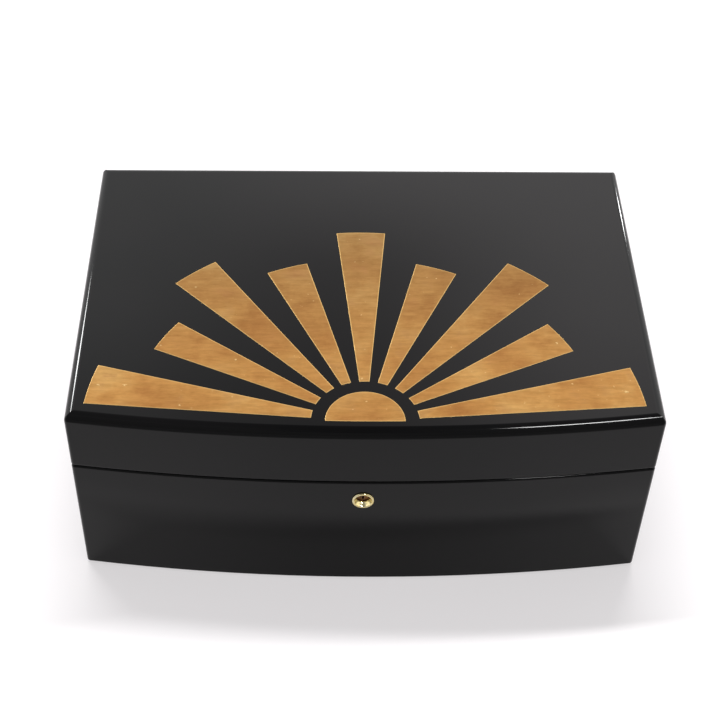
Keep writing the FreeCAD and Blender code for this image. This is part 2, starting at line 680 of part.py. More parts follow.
def strike_plate():
    plate = block("strike_sheet", ("-dim.strike_length / 2", FACE_PLATE_Y, LID_RIM),
                  ("dim.strike_length", f"{STRIKE_BACK} - {FACE_PLATE_Y}", "dim.face_plate_thickness"))
    window_foot = f"{NOSE_Z} - dim.loop_play"
    loop_foot = f"({window_foot} - dim.loop_foot)"
    loop = block("strike_loop", (LOOP_X, f"{LOOP_Y} - {LOOP_HALF}", loop_foot),
                 ("dim.loop_thickness", f"2 * {LOOP_HALF}", f"{LID_RIM} - {loop_foot}"))
    half = f"({LOOP_HALF} - dim.loop_bar)"
    window = block("strike_window", (f"{LOOP_X} - {OVER}", f"{LOOP_Y} - {half}", window_foot),
                   (f"dim.loop_thickness + 2 * {OVER}", f"2 * {half}", "dim.nose_height + 2 * dim.loop_play"))
    holes = screw_holes("strike_hole", STRIKE_SCREWS, True)
    node("strike_plate", cut("strike_plate", fuse("strike_whole", plate, loop), window, *holes))


lock_case()
lock_cap()
lock_face_plate()
lock_escutcheon()
lock_plug()
lock_bolt()
strike_plate()
node("lock_face_screws", group("lock_face_screws", *screws("face_screw", FACE_SCREWS, False)))
node("strike_screws", group("strike_screws", *screws("strike_screw", STRIKE_SCREWS, True)))


# Case walls, cut from one rounded form and parted at the mitres

case_form, case_height = bowed_form("case_form", FOOT, "dim.case_height")
case_corners = rounded(case_form, "case_corners", case_height, upright, "dim.corner_radius")
case_feet = rounded(case_form, "case_feet", case_corners, at_level(0), "dim.foot_ease")
rounded(case_form, "case_seam", case_feet, at_level(number("dim.case_height")), "dim.seam_ease")
case_ring = cut(
    "case_ring",
    case_form,
    bowed_core("case_hollow", "dim.wall", f"{FOOT} - {OVER}", f"dim.case_height + 2 * {OVER}"),
    bowed_core("case_seat", "(dim.wall - dim.rebate)", f"{FOOT} - {OVER}", f"dim.bottom_thickness + {OVER}"),
)
lock_mortises = [
    lock_box("lock_mortise", "dim.lock_fit", f"({INSIDE_Y} + {OVER})"),
    block("face_plate_mortise", ("-dim.face_plate_length / 2", FACE_PLATE_Y, LOCK_TOP),
          ("dim.face_plate_length", "2 * dim.wall", f"dim.face_plate_thickness + {OVER}")),
    rod("escutcheon_hole", "dim.tube_radius + dim.plug_clearance", "dim.wall",
        (0, f"{FRONT} - {OVER}", LOCK_Z), "Y"),
]
lock_mortises += screw_holes("face_plate_pilot", FACE_SCREWS, False)
back_mortises = hinge_mortises("case_back", f"{RIM} - dim.leaf_thickness", RIM, False)
back_mortises += flange_mortises("case_back")
node("case_front", cut("case_front", side_of(case_ring, "case_front_blank", "front"), *lock_mortises))
node("case_back", cut("case_back", side_of(case_ring, "case_back_blank", "back"), *back_mortises))
node("case_left", side_of(case_ring, "case_left", "left"))
node("case_right", side_of(case_ring, "case_right", "right"))
PANEL_INSET = "(dim.wall - dim.rebate + dim.panel_fit)"
node("case_bottom", bowed_core("case_bottom", PANEL_INSET, FOOT, "dim.bottom_thickness"))
node("base_felt", bowed_core("base_felt", "dim.felt_inset", "0", "dim.felt_thickness"))


# Inside: covered boards, and half-lapped dividers for eight bottles

mitred_boards("liner", "(dim.wall + dim.glue_line)", LINED, PANEL_TOP,
              "(dim.case_height - dim.bottom_thickness + dim.lip_height)")
node("floor_liner", bowed_core("floor_liner", f"({LINED} + dim.floor_fit)", PANEL_TOP, "dim.floor_thickness"))

INNER_HALF = f"({HALF_WIDTH} - {LINED})"
LONG_Y = "(-dim.bow_rise / 2)"
LAP = "(dim.divider_thickness + dim.divider_fit)"
INNER_BOW = f"({BOW_RADIUS} - {LINED})"
HALF_HEIGHT = "(dim.divider_height / 2)"


def cross_x(index):
    return f"(({index} + 1) / ({CROSS_COUNT} + 1) * 2 - 1) * {INNER_HALF}"


def divider_long():
    reach = f"({INNER_HALF} - dim.divider_end_gap)"
    board = block("divider_long_board", (f"-{reach}", f"{LONG_Y} - dim.divider_thickness / 2", FLOOR),
                  (f"2 * {reach}", "dim.divider_thickness", "dim.divider_height"))
    laps = []
    for index in range(CROSS_COUNT):
        low = (f"{cross_x(index)} - {LAP} / 2", f"{LONG_Y} - {LAP}", f"{FLOOR} + {HALF_HEIGHT}")
        laps.append(block(f"divider_long_lap_{index}", low, (LAP, f"2 * {LAP}", f"{HALF_HEIGHT} + {OVER}")))
    node("divider_long", cut("divider_long", board, *laps))


def divider_cross(index):
    name = f"divider_cross_{index + 1}"
    edge = f"(abs({cross_x(index)}) + dim.divider_thickness / 2)"
    sag = f"({INNER_BOW} - sqrt({INNER_BOW} ^ 2 - {edge} ^ 2))"
    front = f"({FRONT} + {LINED} + {sag} + dim.divider_end_gap)"
    back = f"({BACK} - {LINED} - dim.divider_end_gap)"
    low = (f"{cross_x(index)} - dim.divider_thickness / 2", front, FLOOR)
    board = block(name + "_board", low, ("dim.divider_thickness", f"{back} - {front}", "dim.divider_height"))
    lap_low = (f"{cross_x(index)} - {LAP}", f"{LONG_Y} - {LAP} / 2", f"{FLOOR} - {OVER}")
    lap = block(name + "_lap", lap_low, (f"2 * {LAP}", LAP, f"{HALF_HEIGHT} + {OVER}"))
    node(name, cut(name, board, lap))


divider_long()
for index in range(CROSS_COUNT):
    divider_cross(index)


# Gold inlay: a half disc at the front and nine rays round it, long and short by turns

FAN_Y = f"({FRONT} + dim.inlay_margin)"
INLAY_Z = f"({TOP} - dim.inlay_thickness)"
inlay_field = bowed_core("inlay_field", "dim.inlay_margin", INLAY_Z, "dim.inlay_thickness")


def inlay_disc(name, radius):
    return rod(name, radius, "dim.inlay_thickness", (0, FAN_Y, INLAY_Z))


def inlay_ray(index):
    name = f"inlay_ray_{index + 1}"
    length = "dim.ray_short" if index % 2 else "dim.ray_long"
    sector = inlay_disc(name + "_sector", length)
    bind(sector, Angle="dim.ray_angle")
    start = f"180 * ({index} + 0.5) / {RAY_COUNT} - dim.ray_angle / 2"
    sector.setExpression("Placement.Rotation.Angle", start)
    ray = cut(name + "_whole", sector, inlay_disc(name + "_start", "dim.ray_start"))
    return node(name, common(name, ray, inlay_field))


hub = node("inlay_hub", common("inlay_hub", inlay_disc("inlay_hub_disc", "dim.hub_radius"), inlay_field))
inlay = [hub] + [inlay_ray(index) for index in range(RAY_COUNT)]


# Lid: walls and top cut from one rounded form

lid_form, lid_block = bowed_form("lid_form", LID_RIM, "dim.lid_height")
lid_corners = rounded(lid_form, "lid_corners", lid_block, upright, "dim.corner_radius")
lid_edges = rounded(lid_form, "lid_edges", lid_corners, at_level(number("dim.lid_height")), "dim.edge_radius")
rounded(lid_form, "lid_seam", lid_edges, at_level(0), "dim.seam_ease")
panel_zone = block("panel_zone", (f"-{HALF_WIDTH} - {OVER}", f"{FRONT} - {OVER}", CEILING),
                   (f"dim.box_width + 2 * {OVER}", f"dim.side_depth + dim.bow_rise + 2 * {OVER}",
                    f"dim.lid_panel + {OVER}"))
lid_hollow = bowed_core("lid_hollow", LID_WALL, f"{LID_RIM} - {OVER}", f"dim.lid_height")
lid_ring = cut("lid_ring", lid_form, panel_zone, lid_hollow)
strike_mortises = [block("strike_mortise", ("-dim.strike_length / 2", FACE_PLATE_Y, f"{LID_RIM} - {OVER}"),
                         ("dim.strike_length", f"{STRIKE_BACK} - {FACE_PLATE_Y}",
                          f"dim.face_plate_thickness + {OVER}"))]
strike_mortises += screw_holes("strike_pilot", STRIKE_SCREWS, True)
lid_back_mortises = hinge_mortises("lid_back", f"{LID_RIM} - {OVER}", LID_RIM, True)
node("lid_front", cut("lid_front", side_of(lid_ring, "lid_front_blank", "front"), *strike_mortises))
node("lid_back", cut("lid_back", side_of(lid_ring, "lid_back_blank", "back"), *lid_back_mortises))
node("lid_left", side_of(lid_ring, "lid_left", "left"))
node("lid_right", side_of(lid_ring, "lid_right", "right"))
node("lid_top", cut("lid_top", common("lid_top_blank", lid_form, panel_zone), *inlay))


# Lid lining: boards inside the walls, flush with the case's boards, and crowned padding under the top

LID_LINER_Z = f"({RIM} + dim.lip_height + dim.liner_gap)"
mitred_boards("lid_liner", f"({LID_WALL} + dim.glue_line)", LINED, LID_LINER_Z,
              f"({CEILING} - {LID_LINER_Z})")
PAD_INSET = f"({LINED} + dim.pad_clearance)"
PAD_TOP = f"({CEILING} - dim.board_thickness)"
node("lid_board", bowed_core("lid_board", PAD_INSET, PAD_TOP, "dim.board_thickness"))


def lid_pad():
    # From its glued face down: an upright side, a quarter round, then an ever flatter slope to the middle
    side = "(dim.pad_thickness - dim.pad_edge - dim.pad_crown)"
    sections = [("0", "0")]
    for angle in (0, 30, 60, 90):
        sections.append((f"dim.pad_edge * (1 - cos({angle} deg))",
                         f"{side} + dim.pad_edge * sin({angle} deg)"))
    for share in (0.5, 1):
        sections.append((f"dim.pad_edge + dim.pad_slope * {share}",
                         f"{side} + dim.pad_edge + dim.pad_crown * (1 - (1 - {share}) ^ 2)"))
    body = doc.addObject("PartDesign::Body", "lid_pad")
    outlines = [bowed_outline(body, f"pad_section_{n}", f"({PAD_INSET} + {inset})", f"-({drop})")
                for n, (inset, drop) in enumerate(sections)]
    loft = body.newObject("PartDesign::AdditiveLoft", "pad_loft")
    loft.Profile = outlines[0]
    loft.Sections = outlines[1:]
    loft.Ruled = True
    move(body, 0, 0, PAD_TOP)
    node("lid_pad", body)


lid_pad()
doc.recompute()

# Every object is sound, and every piece is a valid solid, before anything is written

broken = [item.Label for item in doc.Objects if {"Invalid", "Error"} & set(item.State)]
if broken:
    raise RuntimeError("failed objects: " + ", ".join(broken))
for item in nodes:
    if item.Shape.isNull() or not item.Shape.isValid() or not item.Shape.Solids:
        raise RuntimeError("bad shape: " + item.Label)

os.makedirs("parts", exist_ok=True)
for item in nodes:
    item.Shape.exportStep(f"parts/{item.Label}.step")
print(f"{len(nodes)} pieces written")
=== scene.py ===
import bmesh
import bpy
import json
import math
from mathutils import Matrix, Vector

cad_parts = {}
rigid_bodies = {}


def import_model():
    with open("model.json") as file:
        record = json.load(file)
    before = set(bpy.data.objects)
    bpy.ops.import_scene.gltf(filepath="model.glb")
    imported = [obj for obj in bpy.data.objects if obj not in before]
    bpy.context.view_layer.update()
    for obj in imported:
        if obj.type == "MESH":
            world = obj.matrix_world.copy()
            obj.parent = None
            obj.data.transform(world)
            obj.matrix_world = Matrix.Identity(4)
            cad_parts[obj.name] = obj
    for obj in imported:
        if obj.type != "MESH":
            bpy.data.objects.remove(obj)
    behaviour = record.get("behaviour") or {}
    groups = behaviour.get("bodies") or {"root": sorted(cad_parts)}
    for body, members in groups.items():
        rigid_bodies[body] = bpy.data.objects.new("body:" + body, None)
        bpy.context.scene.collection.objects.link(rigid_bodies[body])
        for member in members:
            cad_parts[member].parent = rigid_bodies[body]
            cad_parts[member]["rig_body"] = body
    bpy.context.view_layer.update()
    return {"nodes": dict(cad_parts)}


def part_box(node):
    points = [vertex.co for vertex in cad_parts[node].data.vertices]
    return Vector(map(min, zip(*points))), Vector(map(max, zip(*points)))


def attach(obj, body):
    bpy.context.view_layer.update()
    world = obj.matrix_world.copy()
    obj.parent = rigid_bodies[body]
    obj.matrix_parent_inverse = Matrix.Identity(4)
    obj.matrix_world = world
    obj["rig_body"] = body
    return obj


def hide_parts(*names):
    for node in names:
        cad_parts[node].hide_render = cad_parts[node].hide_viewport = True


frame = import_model()
nodes = frame["nodes"]

# Case: four mitred walls and the bottom panel, bowed at the front. Fibreboard under polyester piano
# lacquer, sprayed thick, flatted and buffed to a mirror. The walls are glued at their mitres.


def linear(colour):
    # An sRGB hex value as linear light
    channels = [int(colour[place:place + 2], 16) / 255 for place in (1, 3, 5)]
    return tuple(c / 12.92 if c <= 0.04045 else ((c + 0.055) / 1.055) ** 2.4 for c in channels) + (1,)


def add(tree, kind, settings=None, links=None):
    # One node. A setting names a property or a socket, or is the steps of a colour ramp. A hex value is
    # turned to linear. A link names a socket, by its number where two have the same name.
    made = tree.nodes.new(kind)
    for name, value in (settings or {}).items():
        if isinstance(value, str) and value.startswith("#"):
            value = linear(value)
        if name == "steps":
            elements = made.color_ramp.elements
            for position, colour in value[2:]:
                elements.new(position)
            for element, (position, colour) in zip(elements, value):
                element.position = position
                element.color = linear(colour)
        elif isinstance(name, str) and name not in made.inputs:
            setattr(made, name, value)
        else:
            made.inputs[name].default_value = value
    for name, sources in (links or {}).items():
        for source in sources if isinstance(sources, list) else [sources]:
            tree.links.new(source, made.inputs[name])
    return made


def new_material(name):
    material = bpy.data.materials.new(name)
    material.use_nodes = True
    material.node_tree.nodes.clear()
    return material, material.node_tree


def piano_lacquer():
    # Buffed clear gloss over solid black: it shows the room like a dark mirror. A trace of orange peel,
    # 4 mm from crest to crest, and the buffing's faint haze keep it from looking like glass. A pattern's
    # scale is 1000 over its size in millimetres. The IOR is matched to how dark the real fronts are.
    material, tree = new_material("black_polyester_piano_lacquer")
    place = add(tree, "ShaderNodeTexCoord").outputs["Object"]
    depth = add(tree, "ShaderNodeTexNoise", {"Scale": 1000 / 60}, {"Vector": place})
    tint = add(tree, "ShaderNodeValToRGB", {"steps": [(0.3, "#060607"), (0.7, "#090809")]},
               {"Fac": depth.outputs["Fac"]})
    buffing = add(tree, "ShaderNodeTexNoise", {"Scale": 1000 / 25, "Detail": 3.0}, {"Vector": place})
    haze = add(tree, "ShaderNodeMapRange",
               {"From Min": 0.3, "From Max": 0.7, "To Min": 0.035, "To Max": 0.075},
               {"Value": buffing.outputs["Fac"]})
    peel = add(tree, "ShaderNodeTexNoise", {"Scale": 1000 / 4}, {"Vector": place})
    bump = add(tree, "ShaderNodeBump", {"Strength": 0.05, "Distance": 0.00002},
               {"Height": peel.outputs["Fac"]})
    shader = add(tree, "ShaderNodeBsdfPrincipled", {"IOR": 1.35},
                 {"Base Color": tint.outputs["Color"], "Roughness": haze.outputs["Result"],
                  "Normal": bump.outputs["Normal"]})
    add(tree, "ShaderNodeOutputMaterial", links={"Surface": shader.outputs[0]})
    return material


def dress(names, material):
    for name in names:
        for slot in nodes[name].material_slots:
            slot.material = material


lacquer = piano_lacquer()
SIDES = ("front", "back", "left", "right")
dress([f"case_{side}" for side in SIDES] + ["case_bottom"], lacquer)

# Felt under the bottom panel: pressed wool felt, 1 mm, glued on whole. Its cut edge is soft, so the
# edges of the piece are rounded.

MM = 0.001
SAME_PLACE = 0.002 * MM
SHARP = 32


def merged(name, flat_angle=0.4):
    # The CAD node's shape as clean faces: triangles joined, flat areas made one face
    shape = bmesh.new()
    shape.from_mesh(nodes[name].data)
    bmesh.ops.remove_doubles(shape, verts=shape.verts, dist=SAME_PLACE)
    bmesh.ops.dissolve_limit(shape, angle_limit=math.radians(flat_angle), verts=shape.verts,
                             edges=shape.edges)
    return shape


def is_sharp(edge):
    # Its two faces meet at more than this angle, in degrees
    return len(edge.link_faces) == 2 and edge.calc_face_angle(0) > math.radians(SHARP)


def placed(name, data):
    # A new object in the scene, at the origin
    holder = bpy.data.objects.new(name, data)
    bpy.context.scene.collection.objects.link(holder)
    return holder


def mesh_object(name, shape):
    # An object with the shape as its mesh. The shape itself is used up.
    mesh = bpy.data.meshes.new(name)
    shape.to_mesh(mesh)
    shape.free()
    return placed(name, mesh)


def new_piece(name, shape, material, body, smooth_angle=SHARP):
    piece = mesh_object(name, shape)
    piece.data.materials.append(material)
    piece.data.shade_smooth()
    piece.data.set_sharp_from_angle(angle=math.radians(smooth_angle))
    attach(piece, body)
    return piece


def eased(node, material, width, segments=2):
    # The node's own shape with its sharp edges eased by so many millimetres
    shape = merged(node)
    edges = [edge for edge in shape.edges if is_sharp(edge)]
    bmesh.ops.bevel(shape, geom=edges, offset=width * MM, offset_type="OFFSET", segments=segments,
                    profile=0.5, affect="EDGES", clamp_overlap=True)
    piece = new_piece(node + "_finished", shape, material, nodes[node]["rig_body"])
    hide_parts(node)


def pressed_felt():
    # Matted black wool: no shine at all, and loose fibres that catch light at a slant
    material, tree = new_material("pressed_wool_felt")
    place = add(tree, "ShaderNodeTexCoord").outputs["Object"]
    fibres = add(tree, "ShaderNodeTexNoise", {"Scale": 1000 / 0.9, "Detail": 5.0, "Roughness": 0.7},
                 {"Vector": place})
    tint = add(tree, "ShaderNodeValToRGB", {"steps": [(0.3, "#141415"), (0.7, "#2A2A2C")]},
               {"Fac": fibres.outputs["Fac"]})
    bump = add(tree, "ShaderNodeBump", {"Strength": 0.6, "Distance": 0.0002},
               {"Height": fibres.outputs["Fac"]})
    shader = add(tree, "ShaderNodeBsdfPrincipled",
                 {"Roughness": 0.95, "Sheen Weight": 0.3, "Sheen Roughness": 0.6},
                 {"Base Color": tint.outputs["Color"], "Normal": bump.outputs["Normal"]})
    add(tree, "ShaderNodeOutputMaterial", links={"Surface": shader.outputs[0]})
    return material


eased("base_felt", pressed_felt(), width=0.25)

# Hinges: two butt hinges of drawn brass, let into the rims, each with three knuckles on a peened pin.
# Sawn edges are broken and the whole is buffed.


def buffed_brass():
    # Yellow brass under a polishing mop: a warm mirror with fine scratches along the hinge, drawn at
    # 0.35 mm, and a little darker where fingers and air have reached it
    material, tree = new_material("buffed_drawn_brass")
    place = add(tree, "ShaderNodeTexCoord").outputs["Object"]
    along = add(tree, "ShaderNodeMapping", {"Scale": (0.06, 1, 1)}, {"Vector": place})
    scratches = add(tree, "ShaderNodeTexNoise", {"Scale": 1000 / 0.35, "Detail": 3.0, "Roughness": 0.6},
                    {"Vector": along.outputs["Vector"]})
    tarnish = add(tree, "ShaderNodeTexNoise", {"Scale": 1000 / 9, "Detail": 3.0}, {"Vector": place})
    tint = add(tree, "ShaderNodeValToRGB",
               {"steps": [(0.3, "#C79A4A"), (0.55, "#DDB465"), (0.8, "#E6C277")]},
               {"Fac": tarnish.outputs["Fac"]})
    wear = add(tree, "ShaderNodeMapRange",
               {"From Min": 0.3, "From Max": 0.7, "To Min": 0.16, "To Max": 0.3},
               {"Value": scratches.outputs["Fac"]})
    bump = add(tree, "ShaderNodeBump", {"Strength": 0.12, "Distance": 0.00003},
               {"Height": scratches.outputs["Fac"]})
    shader = add(tree, "ShaderNodeBsdfPrincipled", {"Metallic": 1.0},
                 {"Base Color": tint.outputs["Color"], "Roughness": wear.outputs["Result"],
                  "Normal": bump.outputs["Normal"]})
    add(tree, "ShaderNodeOutputMaterial", links={"Surface": shader.outputs[0]})
    return material


brass = buffed_brass()
for hand in ("left", "right"):
    eased(f"hinge_leaf_lower_{hand}", brass, width=0.12)
    eased(f"hinge_leaf_upper_{hand}", brass, width=0.12)
    eased(f"hinge_pin_{hand}", brass, width=0.25)

# Screws of the hinges: countersunk slotted wood screws of brass, turned, their slots sawn. Each was
# driven by hand, so every slot stands at its own angle. The lock's screws are the same, in millimetres.

SCREW_SIZES = {"Head radius": 1.9, "Countersink": 1.1, "Shank radius": 1.0, "Length": 8.0,
               "Slot width": 0.5, "Slot depth": 0.5}
SCREW_SIDES = 40
UPWARDS, DOWNWARDS = 0.0, math.pi


def slotted_screws():
    # A head, a shank and a point, joined, with the slot cut across. One stands on every point of the
    # mesh that comes in, turned by "Head faces" about x and by chance about its own axis.
    tree = bpy.data.node_groups.new("slotted_screws", "GeometryNodeTree")
    tree.interface.new_socket("Geometry", in_out="INPUT", socket_type="NodeSocketGeometry")
    for name in list(SCREW_SIZES) + ["Head faces"]:
        tree.interface.new_socket(name, in_out="INPUT", socket_type="NodeSocketFloat")
    tree.interface.new_socket("Metal", in_out="INPUT", socket_type="NodeSocketMaterial")
    tree.interface.new_socket("Geometry", in_out="OUTPUT", socket_type="NodeSocketGeometry")
    given = add(tree, "NodeGroupInput").outputs
    taper_end = add(tree, "ShaderNodeMath", {"operation": "MULTIPLY", 1: -1.0},
                    {0: given["Countersink"]})
    head = add(tree, "GeometryNodeMeshCone", {"Vertices": SCREW_SIDES},
               {"Radius Bottom": given["Shank radius"], "Radius Top": given["Head radius"],
                "Depth": given["Countersink"]})
    down_to_taper = add(tree, "ShaderNodeCombineXYZ", links={"Z": taper_end.outputs[0]})
    sunk_head = add(tree, "GeometryNodeTransform", links={"Geometry": head.outputs["Mesh"],
                                                          "Translation": down_to_taper.outputs[0]})
    tip_z = add(tree, "ShaderNodeMath", {"operation": "MULTIPLY", 1: -1.0}, {0: given["Length"]})
    tip_radius = add(tree, "ShaderNodeMath", {"operation": "MULTIPLY", 1: 0.3},
                     {0: given["Shank radius"]})
    shank_length = add(tree, "ShaderNodeMath", {"operation": "MULTIPLY", 1: 0.95},
                       {0: given["Length"]})
    shank = add(tree, "GeometryNodeMeshCone", {"Vertices": SCREW_SIDES},
                {"Radius Bottom": tip_radius.outputs[0], "Radius Top": given["Shank radius"],
                 "Depth": shank_length.outputs[0]})
    down_to_tip = add(tree, "ShaderNodeCombineXYZ", links={"Z": tip_z.outputs[0]})
    low_shank = add(tree, "GeometryNodeTransform", links={"Geometry": shank.outputs["Mesh"],
                                                          "Translation": down_to_tip.outputs[0]})
    blank = add(tree, "GeometryNodeMeshBoolean", {"operation": "UNION"},
                {"Mesh 2": [sunk_head.outputs["Geometry"], low_shank.outputs["Geometry"]]})
    across = add(tree, "ShaderNodeMath", {"operation": "MULTIPLY", 1: 3.0}, {0: given["Head radius"]})
    twice_deep = add(tree, "ShaderNodeMath", {"operation": "MULTIPLY", 1: 2.0},
                     {0: given["Slot depth"]})
    saw_size = add(tree, "ShaderNodeCombineXYZ", links={"X": across.outputs[0],
                                                        "Y": given["Slot width"],
                                                        "Z": twice_deep.outputs[0]})
    saw = add(tree, "GeometryNodeMeshCube", links={"Size": saw_size.outputs[0]})
    screw = add(tree, "GeometryNodeMeshBoolean", {"operation": "DIFFERENCE"},
                {"Mesh 1": blank.outputs["Mesh"], "Mesh 2": [saw.outputs["Mesh"]]})
    chance = add(tree, "FunctionNodeRandomValue", {"data_type": "FLOAT", 2: 0.0, 3: math.pi, "Seed": 4})
    turn = add(tree, "ShaderNodeCombineXYZ", links={"X": given["Head faces"], "Z": chance.outputs[1]})
    driven = add(tree, "GeometryNodeInstanceOnPoints",
                 links={"Points": given["Geometry"], "Instance": screw.outputs["Mesh"],
                        "Rotation": turn.outputs[0]})
    real = add(tree, "GeometryNodeRealizeInstances", links={"Geometry": driven.outputs["Instances"]})
    finished = add(tree, "GeometryNodeSetMaterial", links={"Geometry": real.outputs["Geometry"],
                                                           "Material": given["Metal"]})
    add(tree, "NodeGroupOutput", links={"Geometry": finished.outputs["Geometry"]})
    return tree


screw_tree = slotted_screws()


def evaluated_mesh(piece):
    graph = bpy.context.evaluated_depsgraph_get()
    return bpy.data.meshes.new_from_object(piece.evaluated_get(graph))


def drive_screws(node, places, facing):
    # The screws of one node, at (x, y) places in millimetres, with their heads level with its face
    low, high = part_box(node)
    head_z = high.z if facing == UPWARDS else low.z
    marks = bpy.data.meshes.new(node + "_places")
    marks.from_pydata([(x * MM, y * MM, head_z) for x, y in places], [], [])
    holder = placed(node + "_places", marks)
    maker = holder.modifiers.new("screws", "NODES")
    maker.node_group = screw_tree
    values = {name: size * MM for name, size in SCREW_SIZES.items()}
    values.update({"Head faces": facing, "Metal": brass})
    for socket in screw_tree.interface.items_tree:
        if socket.name in values:
            maker[socket.identifier] = values[socket.name]
    shape = bmesh.new()
    shape.from_mesh(evaluated_mesh(holder))
    bpy.data.objects.remove(holder)
    bmesh.ops.remove_doubles(shape, verts=shape.verts, dist=SAME_PLACE)
    bmesh.ops.recalc_face_normals(shape, faces=shape.faces)
    piece = new_piece(node + "_finished", shape, brass, nodes[node]["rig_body"], smooth_angle=30)
    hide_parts(node)


HINGE_MIDDLE = 95
SCREW_OFFSET = 12
SCREW_ROW = 93.75
HINGE_SCREWS = [(middle + offset, SCREW_ROW) for middle in (-HINGE_MIDDLE, HINGE_MIDDLE)
                for offset in (-SCREW_OFFSET, SCREW_OFFSET)]
drive_screws("hinge_screws_lower", HINGE_SCREWS, UPWARDS)
drive_screws("hinge_screws_upper", HINGE_SCREWS, DOWNWARDS)

# Lock: a steel box let into the front wall behind a brass rim plate, with a flat steel bolt inside. A
# gold-plated ring, turned and dished, shows in the front, with the keyed end of the plug at its floor.
# Faces and ends are y in the frame, and the bore, barrel and ring are radii, in millimetres.

LOCK_Z = 68.2
RING_FACE = -109.3
WALL_FACE = -108.4
DISH_FLOOR = -106.4
BARREL_END = -103.4
BORE = 3.05
BARREL = 4.4
RING = 5.7
ROUNDING = 0.45
LIP = 0.3
RING_STEPS = 96


def join_rings(shape, first, second):
    # A closed band of four-sided faces between two rings of points
    for here in range(len(first)):
        after = (here + 1) % len(first)
        shape.faces.new((first[here], first[after], second[after], second[here]))


def turned(name, section, material, body):
    # A closed section of (radius, y) points, in millimetres, turned about the plug's axis
    shape = bmesh.new()
    rings = []
    for step in range(RING_STEPS):
        angle = 2 * math.pi * step / RING_STEPS
        rings.append([shape.verts.new((radius * math.sin(angle) * MM, y * MM,
                                       (LOCK_Z + radius * math.cos(angle)) * MM))
                      for radius, y in section])
    for first, second in zip(rings, rings[1:] + rings[:1]):
        join_rings(shape, first, second)
    bmesh.ops.recalc_face_normals(shape, faces=shape.faces)
    return new_piece(name, shape, material, body, smooth_angle=40)


def arc(centre, radius, start, end, steps):
    # Points along an arc from one angle to another, in degrees
    points = []
    for step in range(steps + 1):
        angle = math.radians(start + (end - start) * step / steps)
        points.append((centre[0] + radius * math.cos(angle), centre[1] + radius * math.sin(angle)))
    return points


def gold_plate():
    # Hard gold plate on turned brass: a clean yellow mirror with faint rings left by the lathe, four to
    # the millimetre. At the dish's floor it is painted dark brown, as painted shade deep in the dish.
    material, tree = new_material("hard_gold_plate")
    place = add(tree, "ShaderNodeTexCoord").outputs["Object"]
    centred = add(tree, "ShaderNodeMapping", {"Location": (0, 0, -LOCK_Z * MM), "Scale": (1, 0, 1)},
                  {"Vector": place})
    radius = add(tree, "ShaderNodeVectorMath", {"operation": "LENGTH"}, {0: centred.outputs["Vector"]})
    rings = add(tree, "ShaderNodeTexNoise", {"noise_dimensions": "1D", "Scale": 4000.0},
                {"W": radius.outputs["Value"]})
    clouds = add(tree, "ShaderNodeTexNoise", {"Scale": 1000 / 3}, {"Vector": place})
    clean = add(tree, "ShaderNodeValToRGB", {"steps": [(0.3, "#FFE79F"), (0.7, "#FFF4C8")]},
                {"Fac": clouds.outputs["Fac"]})
    parts = add(tree, "ShaderNodeSeparateXYZ", links={"Vector": place})
    # Painted shade: the dish's floor and the plug's face are painted dark brown for the shade deep in the
    # dish
    depth = add(tree, "ShaderNodeMapRange",
                {"From Min": (DISH_FLOOR - 0.6) * MM, "From Max": (DISH_FLOOR - 0.2) * MM, "To Max": 0.9},
                {"Value": parts.outputs["Y"]})
    tint = add(tree, "ShaderNodeMix", {"data_type": "RGBA", 7: "#6A3A28"},
               {0: depth.outputs["Result"], 6: clean.outputs["Color"]})
    wear = add(tree, "ShaderNodeMapRange",
               {"From Min": 0.3, "From Max": 0.7, "To Min": 0.1, "To Max": 0.2},
               {"Value": rings.outputs["Fac"]})
    bump = add(tree, "ShaderNodeBump", {"Strength": 0.15, "Distance": 0.00002},
               {"Height": rings.outputs["Fac"]})
    shader = add(tree, "ShaderNodeBsdfPrincipled", {"Metallic": 1.0},
                 {"Base Color": tint.outputs[2], "Roughness": wear.outputs["Result"],
                  "Normal": bump.outputs["Normal"]})
    add(tree, "ShaderNodeOutputMaterial", links={"Surface": shader.outputs[0]})
    return material


def plated_steel():
    # Stamped sheet steel with a dull zinc coat: grey, soft gloss, cloudy crystals of 2 to 3 mm
    material, tree = new_material("zinc_plated_sheet_steel")
    place = add(tree, "ShaderNodeTexCoord").outputs["Object"]
    clouds = add(tree, "ShaderNodeTexNoise", {"Scale": 1000 / 2.5, "Detail": 4.0, "Roughness": 0.6},
                 {"Vector": place})
    tint = add(tree, "ShaderNodeValToRGB", {"steps": [(0.3, "#9EA1A6"), (0.7, "#C9CBCE")]},
               {"Fac": clouds.outputs["Fac"]})
    wear = add(tree, "ShaderNodeMapRange",
               {"From Min": 0.3, "From Max": 0.7, "To Min": 0.28, "To Max": 0.42},
               {"Value": clouds.outputs["Fac"]})
    bump = add(tree, "ShaderNodeBump", {"Strength": 0.15, "Distance": 0.00005},
               {"Height": clouds.outputs["Fac"]})
    shader = add(tree, "ShaderNodeBsdfPrincipled", {"Metallic": 1.0},
                 {"Base Color": tint.outputs["Color"], "Roughness": wear.outputs["Result"],
                  "Normal": bump.outputs["Normal"]})
    add(tree, "ShaderNodeOutputMaterial", links={"Surface": shader.outputs[0]})
    return material


gold = gold_plate()
profile = [(BORE, BARREL_END), (BARREL, BARREL_END), (BARREL, WALL_FACE), (RING, WALL_FACE)]
profile += arc((RING - ROUNDING, RING_FACE + ROUNDING), ROUNDING, 0, -90, 6)
profile += arc((4.75, RING_FACE + LIP), LIP, -90, -150, 5)
